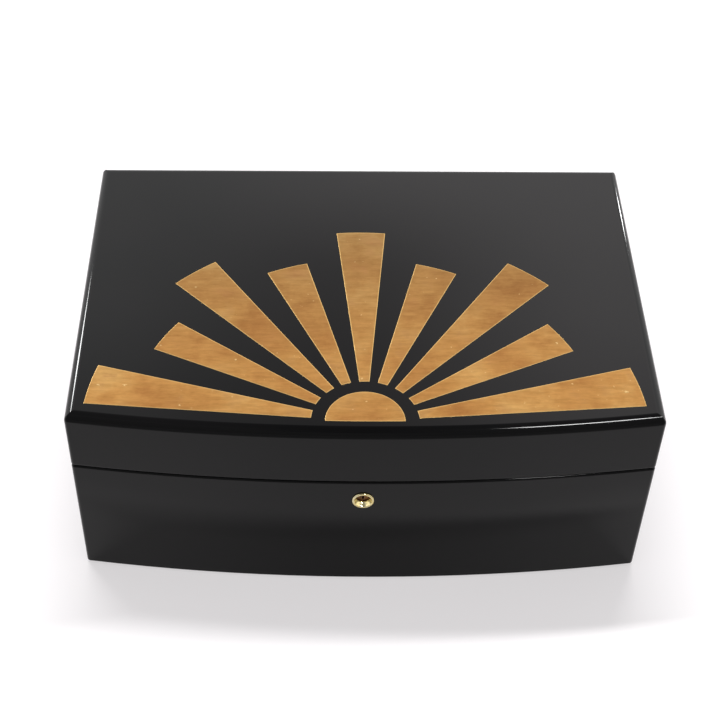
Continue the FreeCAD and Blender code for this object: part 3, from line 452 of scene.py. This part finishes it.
# The dish: a cone that steepens towards its floor
profile += [(4.3, -108.75), (4.0, -108.32), (3.7, -107.9), (3.42, -107.5), (3.2, -107.1), (3.07, -106.75),
            (BORE, DISH_FLOOR)]
ring = turned("lock_ring", profile, gold, "case")
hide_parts("lock_escutcheon")
eased("lock_plug", gold, width=0.12)
steel = plated_steel()
for part in ("case", "cap", "bolt"):
    eased(f"lock_{part}", steel, width=0.12)
eased("lock_face_plate", brass, width=0.15)
drive_screws("lock_face_screws", [(-16.5, -100.4), (16.5, -100.4)], UPWARDS)

# Lining of the case: boards wrapped in beige suede cloth and glued inside the walls and on the bottom.
# The wall boards stand above the rim and locate the lid. Their wrapped edges are rounded.


def suede_cloth():
    # Short-napped microfibre suede: matt, soft edges of light from the nap, lighter and darker patches
    # where the nap lies differently, 15 to 40 mm across. The nap itself is drawn at 0.5 mm.
    material, tree = new_material("microfibre_suede_cloth")
    place = add(tree, "ShaderNodeTexCoord").outputs["Object"]
    nap = add(tree, "ShaderNodeTexNoise", {"Scale": 1000 / 0.5, "Detail": 3.0, "Roughness": 0.7},
              {"Vector": place})
    strokes = add(tree, "ShaderNodeTexNoise", {"Scale": 1000 / 30, "Detail": 4.0, "Roughness": 0.55},
                  {"Vector": place})
    speckle = add(tree, "ShaderNodeValToRGB",
                  {"steps": [(0.25, "#BFAA8C"), (0.5, "#D2BFA2"), (0.75, "#DECDB2")]},
                  {"Fac": nap.outputs["Fac"]})
    patches = add(tree, "ShaderNodeValToRGB", {"steps": [(0.35, "#E2DDD6"), (0.65, "#FFFFFF")]},
                  {"Fac": strokes.outputs["Fac"]})
    tint = add(tree, "ShaderNodeMix", {"data_type": "RGBA", "blend_type": "MULTIPLY", 0: 0.8},
               {6: speckle.outputs["Color"], 7: patches.outputs["Color"]})
    bump = add(tree, "ShaderNodeBump", {"Strength": 0.5, "Distance": 0.00015},
               {"Height": nap.outputs["Fac"]})
    shader = add(tree, "ShaderNodeBsdfPrincipled",
                 {"Roughness": 0.92, "Sheen Weight": 0.45, "Sheen Roughness": 0.45,
                  "Sheen Tint": "#F0E4D0", "Specular IOR Level": 0.25},
                 {"Base Color": tint.outputs[2], "Normal": bump.outputs["Normal"]})
    add(tree, "ShaderNodeOutputMaterial", links={"Surface": shader.outputs[0]})
    return material


suede = suede_cloth()
for side in SIDES:
    eased(f"liner_{side}", suede, width=0.9, segments=3)
eased("floor_liner", suede, width=0.7, segments=3)

# Dividers: one long board and three cross boards, wrapped in the same cloth, half-lapped into each other
# and standing loose on the floor board. They part the case into eight places for bottles.

for name in ["divider_long"] + [f"divider_cross_{number}" for number in (1, 2, 3)]:
    eased(name, suede, width=1.2, segments=4)

# Lid: four mitred walls and a top panel with rounded edges, in the case's lacquer. Pockets for the gold
# are cut into the top before the last coats.

dress([f"lid_{side}" for side in SIDES], lacquer)

# The lid's top panel, made as an outline drawn inwards ring by ring over the rounded edge. The gold's
# pockets are milled out of it with the gold pieces' own shapes. Sizes are in millimetres.

HALF_WIDTH = 150
BACK = 98
CORNER = -98
BOW_MIDDLE = -108.4
EDGE_RADIUS = 5
UPRIGHT_RADIUS = 2
EDGE_STEPS, CORNER_STEPS, BOW_STEPS = 12, 4, 120
PANEL_FOOT = 108
TOP = 120
GOLD = ["inlay_hub"] + [f"inlay_ray_{number}" for number in range(1, 10)]
RISE = CORNER - BOW_MIDDLE
BOW_RADIUS = (HALF_WIDTH ** 2 + RISE ** 2) / (2 * RISE)
BOW_CENTRE = BOW_MIDDLE + BOW_RADIUS
UPPER_FACE = (TOP - 0.01) * MM
ALONG_AN_AXIS = 0.985


def outline(inset):
    # Counterclockwise from the left front corner, so many millimetres inside the outer faces. The
    # corners are rounded until the inset has used their radius up.
    side, back, bow = HALF_WIDTH - inset, BACK - inset, BOW_RADIUS - inset
    rest = max(UPRIGHT_RADIUS - inset, 0)
    fillet_x = side - rest
    fillet_y = BOW_CENTRE - math.sqrt((bow - rest) ** 2 - fillet_x ** 2)
    meets = math.degrees(math.asin(fillet_x / (bow - rest)))
    points = arc((-fillet_x, fillet_y), rest, 180, 270 - meets, CORNER_STEPS)
    points += arc((0, BOW_CENTRE), bow, 270 - meets, 270 + meets, BOW_STEPS)[1:-1]
    points += arc((fillet_x, fillet_y), rest, 270 + meets, 360, CORNER_STEPS)
    points += arc((fillet_x, back - rest), rest, 0, 90, CORNER_STEPS)
    points += arc((-fillet_x, back - rest), rest, 90, 180, CORNER_STEPS)
    return points


def surface_direction(place, facet):
    # Where the polished surface points at one place of a facet: from the bow's, the sides' or a corner's
    # own centre round the edge. The flat top and the pockets' walls keep the facet's own direction.
    if abs(facet.z) > 0.999 or (abs(facet.z) < 0.1 and place.z > (TOP - 1) * MM):
        return facet
    flat = facet.xy.normalized()
    if abs(flat.x) > ALONG_AN_AXIS or flat.y > ALONG_AN_AXIS:
        flat = Vector((round(flat.x), round(flat.y)))
    elif flat.y < -ALONG_AN_AXIS:
        flat = (place.xy - Vector((0, BOW_CENTRE * MM))).normalized()
    else:
        corner_x, corner_y = HALF_WIDTH - UPRIGHT_RADIUS, BACK - UPRIGHT_RADIUS
        if place.y < 0:
            corner_y = BOW_CENTRE - math.sqrt((BOW_RADIUS - UPRIGHT_RADIUS) ** 2 - corner_x ** 2)
        centre = Vector((math.copysign(corner_x, place.x), corner_y)) * MM
        flat = (place.xy - centre).normalized()
    rise = min(max((place.z / MM - TOP + EDGE_RADIUS) / EDGE_RADIUS, 0), 1)
    level = math.sqrt(1 - rise ** 2)
    return Vector((flat.x * level, flat.y * level, rise))


def gold_cutter():
    # The gold pieces as one tool, raised 1 mm above the panel for a clean cut
    shape = bmesh.new()
    for name in GOLD:
        shape.from_mesh(nodes[name].data)
    bmesh.ops.remove_doubles(shape, verts=shape.verts, dist=SAME_PLACE)
    for vert in shape.verts:
        if vert.co.z > UPPER_FACE:
            vert.co.z += MM
    return mesh_object("gold_cutter", shape)


def lid_panel():
    # Each level is an inset and a height
    levels = [(0, PANEL_FOOT), (0, TOP - EDGE_RADIUS)]
    for step in range(1, EDGE_STEPS + 1):
        angle = math.radians(90 * step / EDGE_STEPS)
        levels.append((EDGE_RADIUS * (1 - math.cos(angle)),
                       TOP - EDGE_RADIUS * (1 - math.sin(angle))))
    shape = bmesh.new()
    rings = [[shape.verts.new((x * MM, y * MM, z * MM)) for x, y in outline(inset)]
             for inset, z in levels]
    for low, high in zip(rings, rings[1:]):
        join_rings(shape, low, high)
    shape.faces.new(rings[-1])
    shape.faces.new(rings[0][::-1])
    bmesh.ops.remove_doubles(shape, verts=shape.verts, dist=SAME_PLACE)
    bmesh.ops.dissolve_degenerate(shape, edges=shape.edges, dist=0.001 * MM)
    piece = mesh_object("lid_top_finished", shape)
    piece.data.materials.append(lacquer)
    piece.data.shade_smooth()
    cutter = gold_cutter()
    milling = piece.modifiers.new("pockets", "BOOLEAN")
    milling.operation = "DIFFERENCE"
    milling.solver = "EXACT"
    milling.object = cutter
    piece.data = evaluated_mesh(piece)
    piece.modifiers.clear()
    bpy.data.objects.remove(cutter)
    mesh = piece.data
    directions = [(0, 0, 1)] * len(mesh.loops)
    for facet in mesh.polygons:
        for corner in facet.loop_indices:
            place = mesh.vertices[mesh.loops[corner].vertex_index].co
            directions[corner] = surface_direction(place, facet.normal)
    mesh.normals_split_custom_set(directions)
    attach(piece, "lid")
    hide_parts("lid_top")


lid_panel()

# Gold inlay: a half disc and nine straight rays in the lid's top, level with the lacquer. Thin brass
# faced with gold leaf, its edges rubbed to a burnish and painted paler as a highlight where they meet the
# black.


def mottled_leaf():
    # Laid gold leaf, rubbed back: cloudy from 10 to 30 mm, redder where the ground shows, darker towards
    # the hinges as painted shade, with faint rubbing streaks and a few bright flakes of 1 to 2 mm. Every
    # piece carries a thin edge of burnish, painted paler as a highlight, which its own attribute marks.
    material, tree = new_material("mottled_gold_leaf")
    place = add(tree, "ShaderNodeTexCoord").outputs["Object"]
    clouds = add(tree, "ShaderNodeTexNoise", {"Scale": 1000 / 26, "Detail": 5.0, "Roughness": 0.62},
                 {"Vector": place})
    leaf = add(tree, "ShaderNodeValToRGB",
               {"steps": [(0.3, "#BD8345"), (0.5, "#D19A55"), (0.7, "#E0B06A")]},
               {"Fac": clouds.outputs["Fac"]})
    parts = add(tree, "ShaderNodeSeparateXYZ", links={"Vector": place})
    # Painted shade: the leaf is multiplied darker towards the back of the lid, towards the hinges
    rear_shade_ramp = add(tree, "ShaderNodeMapRange",
                     {"interpolation_type": "SMOOTHSTEP", "From Min": -0.09, "From Max": 0.06},
                     {"Value": parts.outputs["Y"]})
    painted_rear_shade = add(tree, "ShaderNodeValToRGB", {"steps": [(0.0, "#FFFFFF"), (1.0, "#D6DCE6")]},
               {"Fac": rear_shade_ramp.outputs["Result"]})
    rear_shaded = add(tree, "ShaderNodeMix", {"data_type": "RGBA", "blend_type": "MULTIPLY", 0: 1.0},
                {6: leaf.outputs["Color"], 7: painted_rear_shade.outputs["Color"]})
    ground = add(tree, "ShaderNodeTexNoise", {"Scale": 1000 / 13, "Detail": 4.0, "Roughness": 0.6},
                 {"Vector": place})
    shown = add(tree, "ShaderNodeMapRange",
                {"From Min": 0.54, "From Max": 0.72, "To Min": 0.0, "To Max": 0.4},
                {"Value": ground.outputs["Fac"]})
    reddened = add(tree, "ShaderNodeMix", {"data_type": "RGBA", 7: "#A9693C"},
                   {0: shown.outputs["Result"], 6: rear_shaded.outputs[2]})
    rubbed = add(tree, "ShaderNodeMapping", {"Scale": (0.2, 1, 1)}, {"Vector": place})
    specks = add(tree, "ShaderNodeTexNoise", {"Scale": 1000 / 2.2, "Detail": 4.0, "Roughness": 0.65},
                 {"Vector": rubbed.outputs["Vector"]})
    dull = add(tree, "ShaderNodeValToRGB", {"steps": [(0.3, "#D9CFC0"), (0.65, "#FFFFFF")]},
               {"Fac": specks.outputs["Fac"]})
    speckled = add(tree, "ShaderNodeMix", {"data_type": "RGBA", "blend_type": "MULTIPLY", 0: 0.7},
                   {6: reddened.outputs[2], 7: dull.outputs["Color"]})
    flakes = add(tree, "ShaderNodeTexNoise", {"Scale": 1000 / 2.6, "Detail": 2.0}, {"Vector": place})
    bright = add(tree, "ShaderNodeMapRange",
                 {"From Min": 0.71, "From Max": 0.8, "To Min": 0.0, "To Max": 0.7},
                 {"Value": flakes.outputs["Fac"]})
    flaked = add(tree, "ShaderNodeMix", {"data_type": "RGBA", 7: "#FFE7A8"},
                 {0: bright.outputs["Result"], 6: speckled.outputs[2]})
    # Painted highlight: a paler gold along each piece's edge, partly burnish, partly the bright line its
    # edges catch
    edge = add(tree, "ShaderNodeAttribute", {"attribute_name": "burnished"}).outputs["Fac"]
    edged = add(tree, "ShaderNodeMix", {"data_type": "RGBA", 7: "#F7CE84"},
                {0: edge, 6: flaked.outputs[2]})
    wear = add(tree, "ShaderNodeMapRange",
               {"From Min": 0.3, "From Max": 0.7, "To Min": 0.52, "To Max": 0.4},
               {"Value": clouds.outputs["Fac"]})
    bump = add(tree, "ShaderNodeBump", {"Strength": 0.18, "Distance": 0.00008},
               {"Height": specks.outputs["Fac"]})
    shader = add(tree, "ShaderNodeBsdfPrincipled", {"Metallic": 0.8},
                 {"Base Color": edged.outputs[2], "Roughness": wear.outputs["Result"],
                  "Normal": bump.outputs["Normal"]})
    add(tree, "ShaderNodeOutputMaterial", links={"Surface": shader.outputs[0]})
    return material


leaf = mottled_leaf()
GOLD_EDGE = 0.12
BURNISH_AND_HIGHLIGHT_MARGIN = 0.4


def inlaid(node):
    # The upper edge is eased and the flat top gets a narrow margin, on which the burnish and its painted
    # highlight fade inwards
    shape = merged(node)
    rim = [edge for edge in shape.edges
           if is_sharp(edge) and all(v.co.z > UPPER_FACE for v in edge.verts)]
    bmesh.ops.bevel(shape, geom=rim, offset=GOLD_EDGE * MM, segments=2, profile=0.5, affect="EDGES")
    flat = [face for face in shape.faces
            if face.normal.z > 0.999 and face.calc_center_median().z > UPPER_FACE]
    bmesh.ops.inset_region(shape, faces=flat, thickness=BURNISH_AND_HIGHLIGHT_MARGIN * MM, use_even_offset=True)
    # The attribute marks the edge's burnish and painted highlight
    burnished = shape.verts.layers.float.new("burnished")
    for vert in shape.verts:
        vert[burnished] = 1
    for face in flat:
        for vert in face.verts:
            vert[burnished] = 0
    piece = new_piece(node + "_finished", shape, leaf, "lid", smooth_angle=20)
    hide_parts(node)


for name in GOLD:
    inlaid(name)

# Lining of the lid: wrapped boards inside the walls, a plain grey board glued under the top, and on it a
# foam pad covered with the same suede cloth.


def grey_board():
    # Uncoated grey board: pulp with short darker and lighter fibres about 1 mm long
    material, tree = new_material("uncoated_grey_board")
    place = add(tree, "ShaderNodeTexCoord").outputs["Object"]
    fibres = add(tree, "ShaderNodeTexNoise", {"Scale": 1000 / 1.2, "Detail": 4.0, "Roughness": 0.7},
                 {"Vector": place})
    tint = add(tree, "ShaderNodeValToRGB", {"steps": [(0.3, "#8C8A84"), (0.7, "#A9A69F")]},
               {"Fac": fibres.outputs["Fac"]})
    bump = add(tree, "ShaderNodeBump", {"Strength": 0.3, "Distance": 0.0001},
               {"Height": fibres.outputs["Fac"]})
    shader = add(tree, "ShaderNodeBsdfPrincipled", {"Roughness": 0.9},
                 {"Base Color": tint.outputs["Color"], "Normal": bump.outputs["Normal"]})
    add(tree, "ShaderNodeOutputMaterial", links={"Surface": shader.outputs[0]})
    return material


for side in SIDES:
    eased(f"lid_liner_{side}", suede, width=0.9, segments=3)
eased("lid_board", grey_board(), width=0.2)

PAD_TOP = 106.5
GLUED = 0.6
SWELL = 3
START_WIDTH, START_DEPTH, START_THICKNESS = 0.996, 0.995, 0.86
WEAVE = 4
PRESSURE = 4
FRAMES = 20


def fill_with_foam(piece):
    # Cloth pressure tightens the cover, which stays glued round its upper face. No point moves further
    # than the swell.
    glued = [v.index for v in piece.data.vertices if v.co.z > (PAD_TOP - GLUED) * MM]
    piece.vertex_groups.new(name="glued").add(glued, 1, "REPLACE")
    cover = piece.modifiers.new("cover", "CLOTH")
    cover.settings.vertex_group_mass = "glued"
    cover.settings.use_pressure = True
    cover.settings.uniform_pressure_force = PRESSURE
    cover.settings.effector_weights.gravity = 0
    for step in range(1, FRAMES + 1):
        bpy.context.scene.frame_set(step)
    blown = evaluated_mesh(piece)
    bpy.context.scene.frame_set(1)
    piece.modifiers.clear()
    for before, after in zip(piece.data.vertices, blown.vertices):
        path = after.co - before.co
        if path.length > SWELL * MM:
            path.length = SWELL * MM
        before.co += path


def padding():
    # The glued face stays on the board. The rest starts smaller than the finished pad, so that the foam
    # has room to fill it. Nothing leaves the space of the node.
    shape = merged("lid_pad", 0.05)
    low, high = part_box("lid_pad")
    middle = (low + high) / 2
    for vert in shape.verts:
        drop = high.z - vert.co.z
        vert.co.z = high.z - drop * START_THICKNESS
        vert.co.x = middle.x + (vert.co.x - middle.x) * START_WIDTH
        vert.co.y = middle.y + (vert.co.y - middle.y) * START_DEPTH
    piece = mesh_object("lid_padding", shape)
    weave = piece.modifiers.new("weave", "REMESH")
    weave.mode = "VOXEL"
    weave.voxel_size = WEAVE * MM
    piece.data = evaluated_mesh(piece)
    piece.modifiers.clear()
    fill_with_foam(piece)
    for vert in piece.data.vertices:
        vert.co = [min(max(value, least), most) for value, least, most in zip(vert.co, low, high)]
    smooth = piece.modifiers.new("cover", "SUBSURF")
    smooth.levels = smooth.render_levels = 1
    piece.data.materials.clear()
    piece.data.materials.append(suede)
    piece.data.shade_smooth()
    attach(piece, "lid")
    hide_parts("lid_pad")


padding()

# Strike: a brass plate in the lid's front rim, with a loop that drops through the rim plate for the bolt.
# Two countersunk screws hold it.

eased("strike_plate", brass, width=0.15)
drive_screws("strike_screws", [(-11, -100.9), (11, -100.9)], DOWNWARDS)

# Table: a plain white sheet under and round the box. It shows white to the camera and in reflections,
# and keeps the box's soft shadow.


def white_table():
    # Matt white board in the shade of the studio. Its own light is added for the eye and for
    # reflections only, so the box gets no more light from it. In reflections it carries painted shade: it
    # is dimmer in line with the box's middle, and less than half as bright from 45 mm in front of the box
    # on.
    material, tree = new_material("matt_white_board")
    place = add(tree, "ShaderNodeTexCoord").outputs["Object"]
    clouds = add(tree, "ShaderNodeTexNoise", {"Scale": 1000 / 180}, {"Vector": place})
    tint = add(tree, "ShaderNodeValToRGB", {"steps": [(0.3, "#BCBABB"), (0.7, "#BEBCBD")]},
               {"Fac": clouds.outputs["Fac"]})
    board = add(tree, "ShaderNodeBsdfDiffuse", links={"Color": tint.outputs["Color"]})
    ray = add(tree, "ShaderNodeLightPath").outputs
    seen = add(tree, "ShaderNodeMath", {"operation": "MAXIMUM"},
               {0: ray["Is Camera Ray"], 1: ray["Is Transmission Ray"]})
    parts = add(tree, "ShaderNodeSeparateXYZ", links={"Vector": place})
    # Painted shade in reflections: the glow is dimmed in line with the box's middle and further in front
    aside = add(tree, "ShaderNodeMath", {"operation": "ABSOLUTE"}, {0: parts.outputs["X"]})
    painted_shade_across = add(tree, "ShaderNodeMapRange",
                   {"interpolation_type": "SMOOTHSTEP", "From Max": 0.15, "To Min": 0.38, "To Max": 0.6},
                   {"Value": aside.outputs[0]})
    painted_shade_ahead = add(tree, "ShaderNodeMapRange", {"From Min": -0.155, "From Max": -0.13, "To Min": 0.45},
                {"Value": parts.outputs["Y"]})
    bright = add(tree, "ShaderNodeMath", {"operation": "MULTIPLY"},
                 {0: painted_shade_across.outputs["Result"], 1: painted_shade_ahead.outputs["Result"]})
    mirrored = add(tree, "ShaderNodeMath", {"operation": "MULTIPLY"},
                   {0: ray["Is Glossy Ray"], 1: bright.outputs[0]})
    shown = add(tree, "ShaderNodeMath", {"operation": "MAXIMUM"},
                {0: seen.outputs[0], 1: mirrored.outputs[0]})
    strength = add(tree, "ShaderNodeMath", {"operation": "MULTIPLY", 1: 0.53}, {0: shown.outputs[0]})
    glow = add(tree, "ShaderNodeEmission", {"Color": "#FFFCFD"}, {"Strength": strength.outputs[0]})
    lit = add(tree, "ShaderNodeAddShader", links={0: board.outputs[0], 1: glow.outputs[0]})
    add(tree, "ShaderNodeOutputMaterial", links={"Surface": lit.outputs[0]})
    return material


def flat_sheet(name, side, near, far, height, material):
    # A level rectangle, so many metres to each side and from near to far
    mesh = bpy.data.meshes.new(name)
    mesh.from_pydata([(-side, near, height), (side, near, height), (side, far, height),
                      (-side, far, height)], [], [(0, 1, 2, 3)])
    mesh.materials.append(material)
    return placed(name, mesh)


REACH = 6
table = flat_sheet("white_table", REACH, -REACH, REACH, 0, white_table())

# Grey card: lies on the table in front of the box and never shows to the camera. Only the gloss shows it,
# as the dark line along the lid's front edge.


def grey_card():
    # Matt mid-grey paper, evenly coloured
    material, tree = new_material("matt_grey_card")
    place = add(tree, "ShaderNodeTexCoord").outputs["Object"]
    clouds = add(tree, "ShaderNodeTexNoise", {"Scale": 1000 / 180}, {"Vector": place})
    tint = add(tree, "ShaderNodeValToRGB", {"steps": [(0.3, "#8B8B8B"), (0.7, "#919191")]},
               {"Fac": clouds.outputs["Fac"]})
    paper = add(tree, "ShaderNodeBsdfDiffuse", links={"Color": tint.outputs["Color"]})
    add(tree, "ShaderNodeOutputMaterial", links={"Surface": paper.outputs[0]})
    return material


CARD_SIDE = 1.5
CARD_NEAR, CARD_FAR = -1.6, -0.262
card = flat_sheet("grey_card", CARD_SIDE, CARD_NEAR, CARD_FAR, MM, grey_card())
card.visible_camera = card.visible_diffuse = card.visible_transmission = card.visible_shadow = False

# Room: pale walls that dim towards a darker ceiling and in front of the box, a window behind and to the
# right, and a dark beam overhead from back to front. The lid's gloss shows them as slow changes of
# light. Matt surfaces get the room's even light.

WINDOW = Vector((0.185, 0.743, 0.643))
BEAM = 0.02
ROOM_LEVEL = 1.2


def white_room():
    # Directions have length 1: the walls' steps go from level, 0, to straight up, 1. The window is one
    # direction, and the beam lies over one value of x.
    world = bpy.data.worlds.new("white_room")
    world.use_nodes = True
    tree = world.node_tree
    tree.nodes.clear()
    direction = add(tree, "ShaderNodeTexCoord").outputs["Generated"]
    parts = add(tree, "ShaderNodeSeparateXYZ", links={"Vector": direction})
    wall = add(tree, "ShaderNodeValToRGB",
               {"steps": [(0.0, "#F2F2F2"), (0.5, "#F8F8F8"), (0.63, "#FFFFFF"), (0.69, "#F7F7F7"),
                          (0.743, "#D0D0D0"), (0.79, "#AEAEAE"), (0.85, "#8A8A8A"), (0.9, "#7A7A7A"),
                          (1.0, "#747474")]},
               {"Fac": parts.outputs["Z"]})
    ahead = add(tree, "ShaderNodeMapRange", {"From Min": -0.55, "From Max": -0.35, "To Min": 1.0,
                                             "To Max": 0.0}, {"Value": parts.outputs["Y"]})
    walls = add(tree, "ShaderNodeMix", {"data_type": "RGBA", 7: "#7A7A7A"},
                {0: ahead.outputs["Result"], 6: wall.outputs["Color"]})
    towards = add(tree, "ShaderNodeVectorMath", {"operation": "DOT_PRODUCT", 1: WINDOW}, {0: direction})
    glow = add(tree, "ShaderNodeMapRange",
               {"interpolation_type": "SMOOTHSTEP", "From Min": 0.955, "From Max": 0.998},
               {"Value": towards.outputs["Value"]})
    lit_room = add(tree, "ShaderNodeMix", {"data_type": "RGBA", "blend_type": "ADD", 7: "#AEA6A7"},
                   {0: glow.outputs["Result"], 6: walls.outputs[2]})
    from_beam = add(tree, "ShaderNodeMath", {"operation": "SUBTRACT", 1: BEAM}, {0: parts.outputs["X"]})
    aside = add(tree, "ShaderNodeMath", {"operation": "ABSOLUTE"}, {0: from_beam.outputs[0]})
    beam = add(tree, "ShaderNodeMapRange",
               {"interpolation_type": "SMOOTHSTEP", "From Max": 0.17, "To Min": 0.45, "To Max": 0.0},
               {"Value": aside.outputs[0]})
    above = add(tree, "ShaderNodeMapRange",
                {"interpolation_type": "SMOOTHSTEP", "From Min": 0.615, "From Max": 0.69},
                {"Value": parts.outputs["Z"]})
    dark = add(tree, "ShaderNodeMath", {"operation": "MULTIPLY"},
               {0: beam.outputs["Result"], 1: above.outputs["Result"]})
    dimmed = add(tree, "ShaderNodeMix", {"data_type": "RGBA", 7: "#000000"},
                 {0: dark.outputs[0], 6: lit_room.outputs[2]})
    matt = add(tree, "ShaderNodeLightPath").outputs["Is Diffuse Ray"]
    level = add(tree, "ShaderNodeMix", {"data_type": "RGBA", 7: "#A0A0A1"},
                {0: matt, 6: dimmed.outputs[2]})
    background = add(tree, "ShaderNodeBackground", {"Strength": ROOM_LEVEL}, {"Color": level.outputs[2]})
    add(tree, "ShaderNodeOutputWorld", links={"Surface": background.outputs[0]})
    return world


bpy.context.scene.world = white_room()

# Lamps: one long soft lamp high above and behind the box, which throws the short shadow in front of it.
# Three small ones show only in the gloss, as the thin lights along the lid's front, left and right edges.


def soft_lamp(name, azimuth, elevation, distance, size, power):
    # It faces the box. Azimuth is counted from straight behind the box, to the right.
    lamp = bpy.data.lights.new(name, "AREA")
    lamp.shape = "RECTANGLE"
    lamp.size, lamp.size_y = size
    lamp.energy = power
    holder = placed(name, lamp)
    turn, tilt = math.radians(azimuth), math.radians(elevation)
    away = Vector((math.sin(turn) * math.cos(tilt), math.cos(turn) * math.cos(tilt), math.sin(tilt)))
    holder.matrix_world = (Matrix.Translation(away * distance)
                           @ (-away).to_track_quat("-Z", "Y").to_matrix().to_4x4())
    return holder


high_lamp = soft_lamp("high_lamp", azimuth=-9, elevation=75, distance=2, size=(1.1, 0.1), power=35)
high_lamp.visible_glossy = False
edge_lamps = [
    soft_lamp("front_edge_lamp", azimuth=139, elevation=62.7, distance=2.17, size=(0.45, 0.15), power=12),
    soft_lamp("left_edge_lamp", azimuth=-42.9, elevation=31.9, distance=2, size=(0.18, 0.3), power=6),
    soft_lamp("right_edge_lamp", azimuth=42.5, elevation=15, distance=1.9, size=(0.05, 0.16), power=1.5)]
for edge_lamp in edge_lamps:
    edge_lamp.visible_diffuse = False

# Camera: where the photograph was taken from, a little left of the middle and looking down at 46 degrees.
# The shift to the side is that of a picture cropped on its left.

PLACE = (-0.0240, -0.6078, 0.6879)
PITCH, YAW, ROLL = 0.802, -0.003, -0.003
forward = Vector((math.sin(YAW) * math.cos(PITCH), math.cos(YAW) * math.cos(PITCH), -math.sin(PITCH)))
right = Vector((math.cos(YAW), -math.sin(YAW), 0))
down = forward.cross(right)
across = right * math.cos(ROLL) + down * math.sin(ROLL)
along = down * math.cos(ROLL) - right * math.sin(ROLL)
lens = bpy.data.cameras.new("camera")
lens.sensor_width = 36
lens.lens = 77.0
lens.shift_x = 0.064
camera = placed("camera", lens)
camera.matrix_world = (Matrix.Translation(PLACE)
                       @ Matrix((across, -along, -forward)).transposed().to_4x4())
bpy.context.scene.camera = camera
bpy.context.scene.view_settings.view_transform = "Standard"
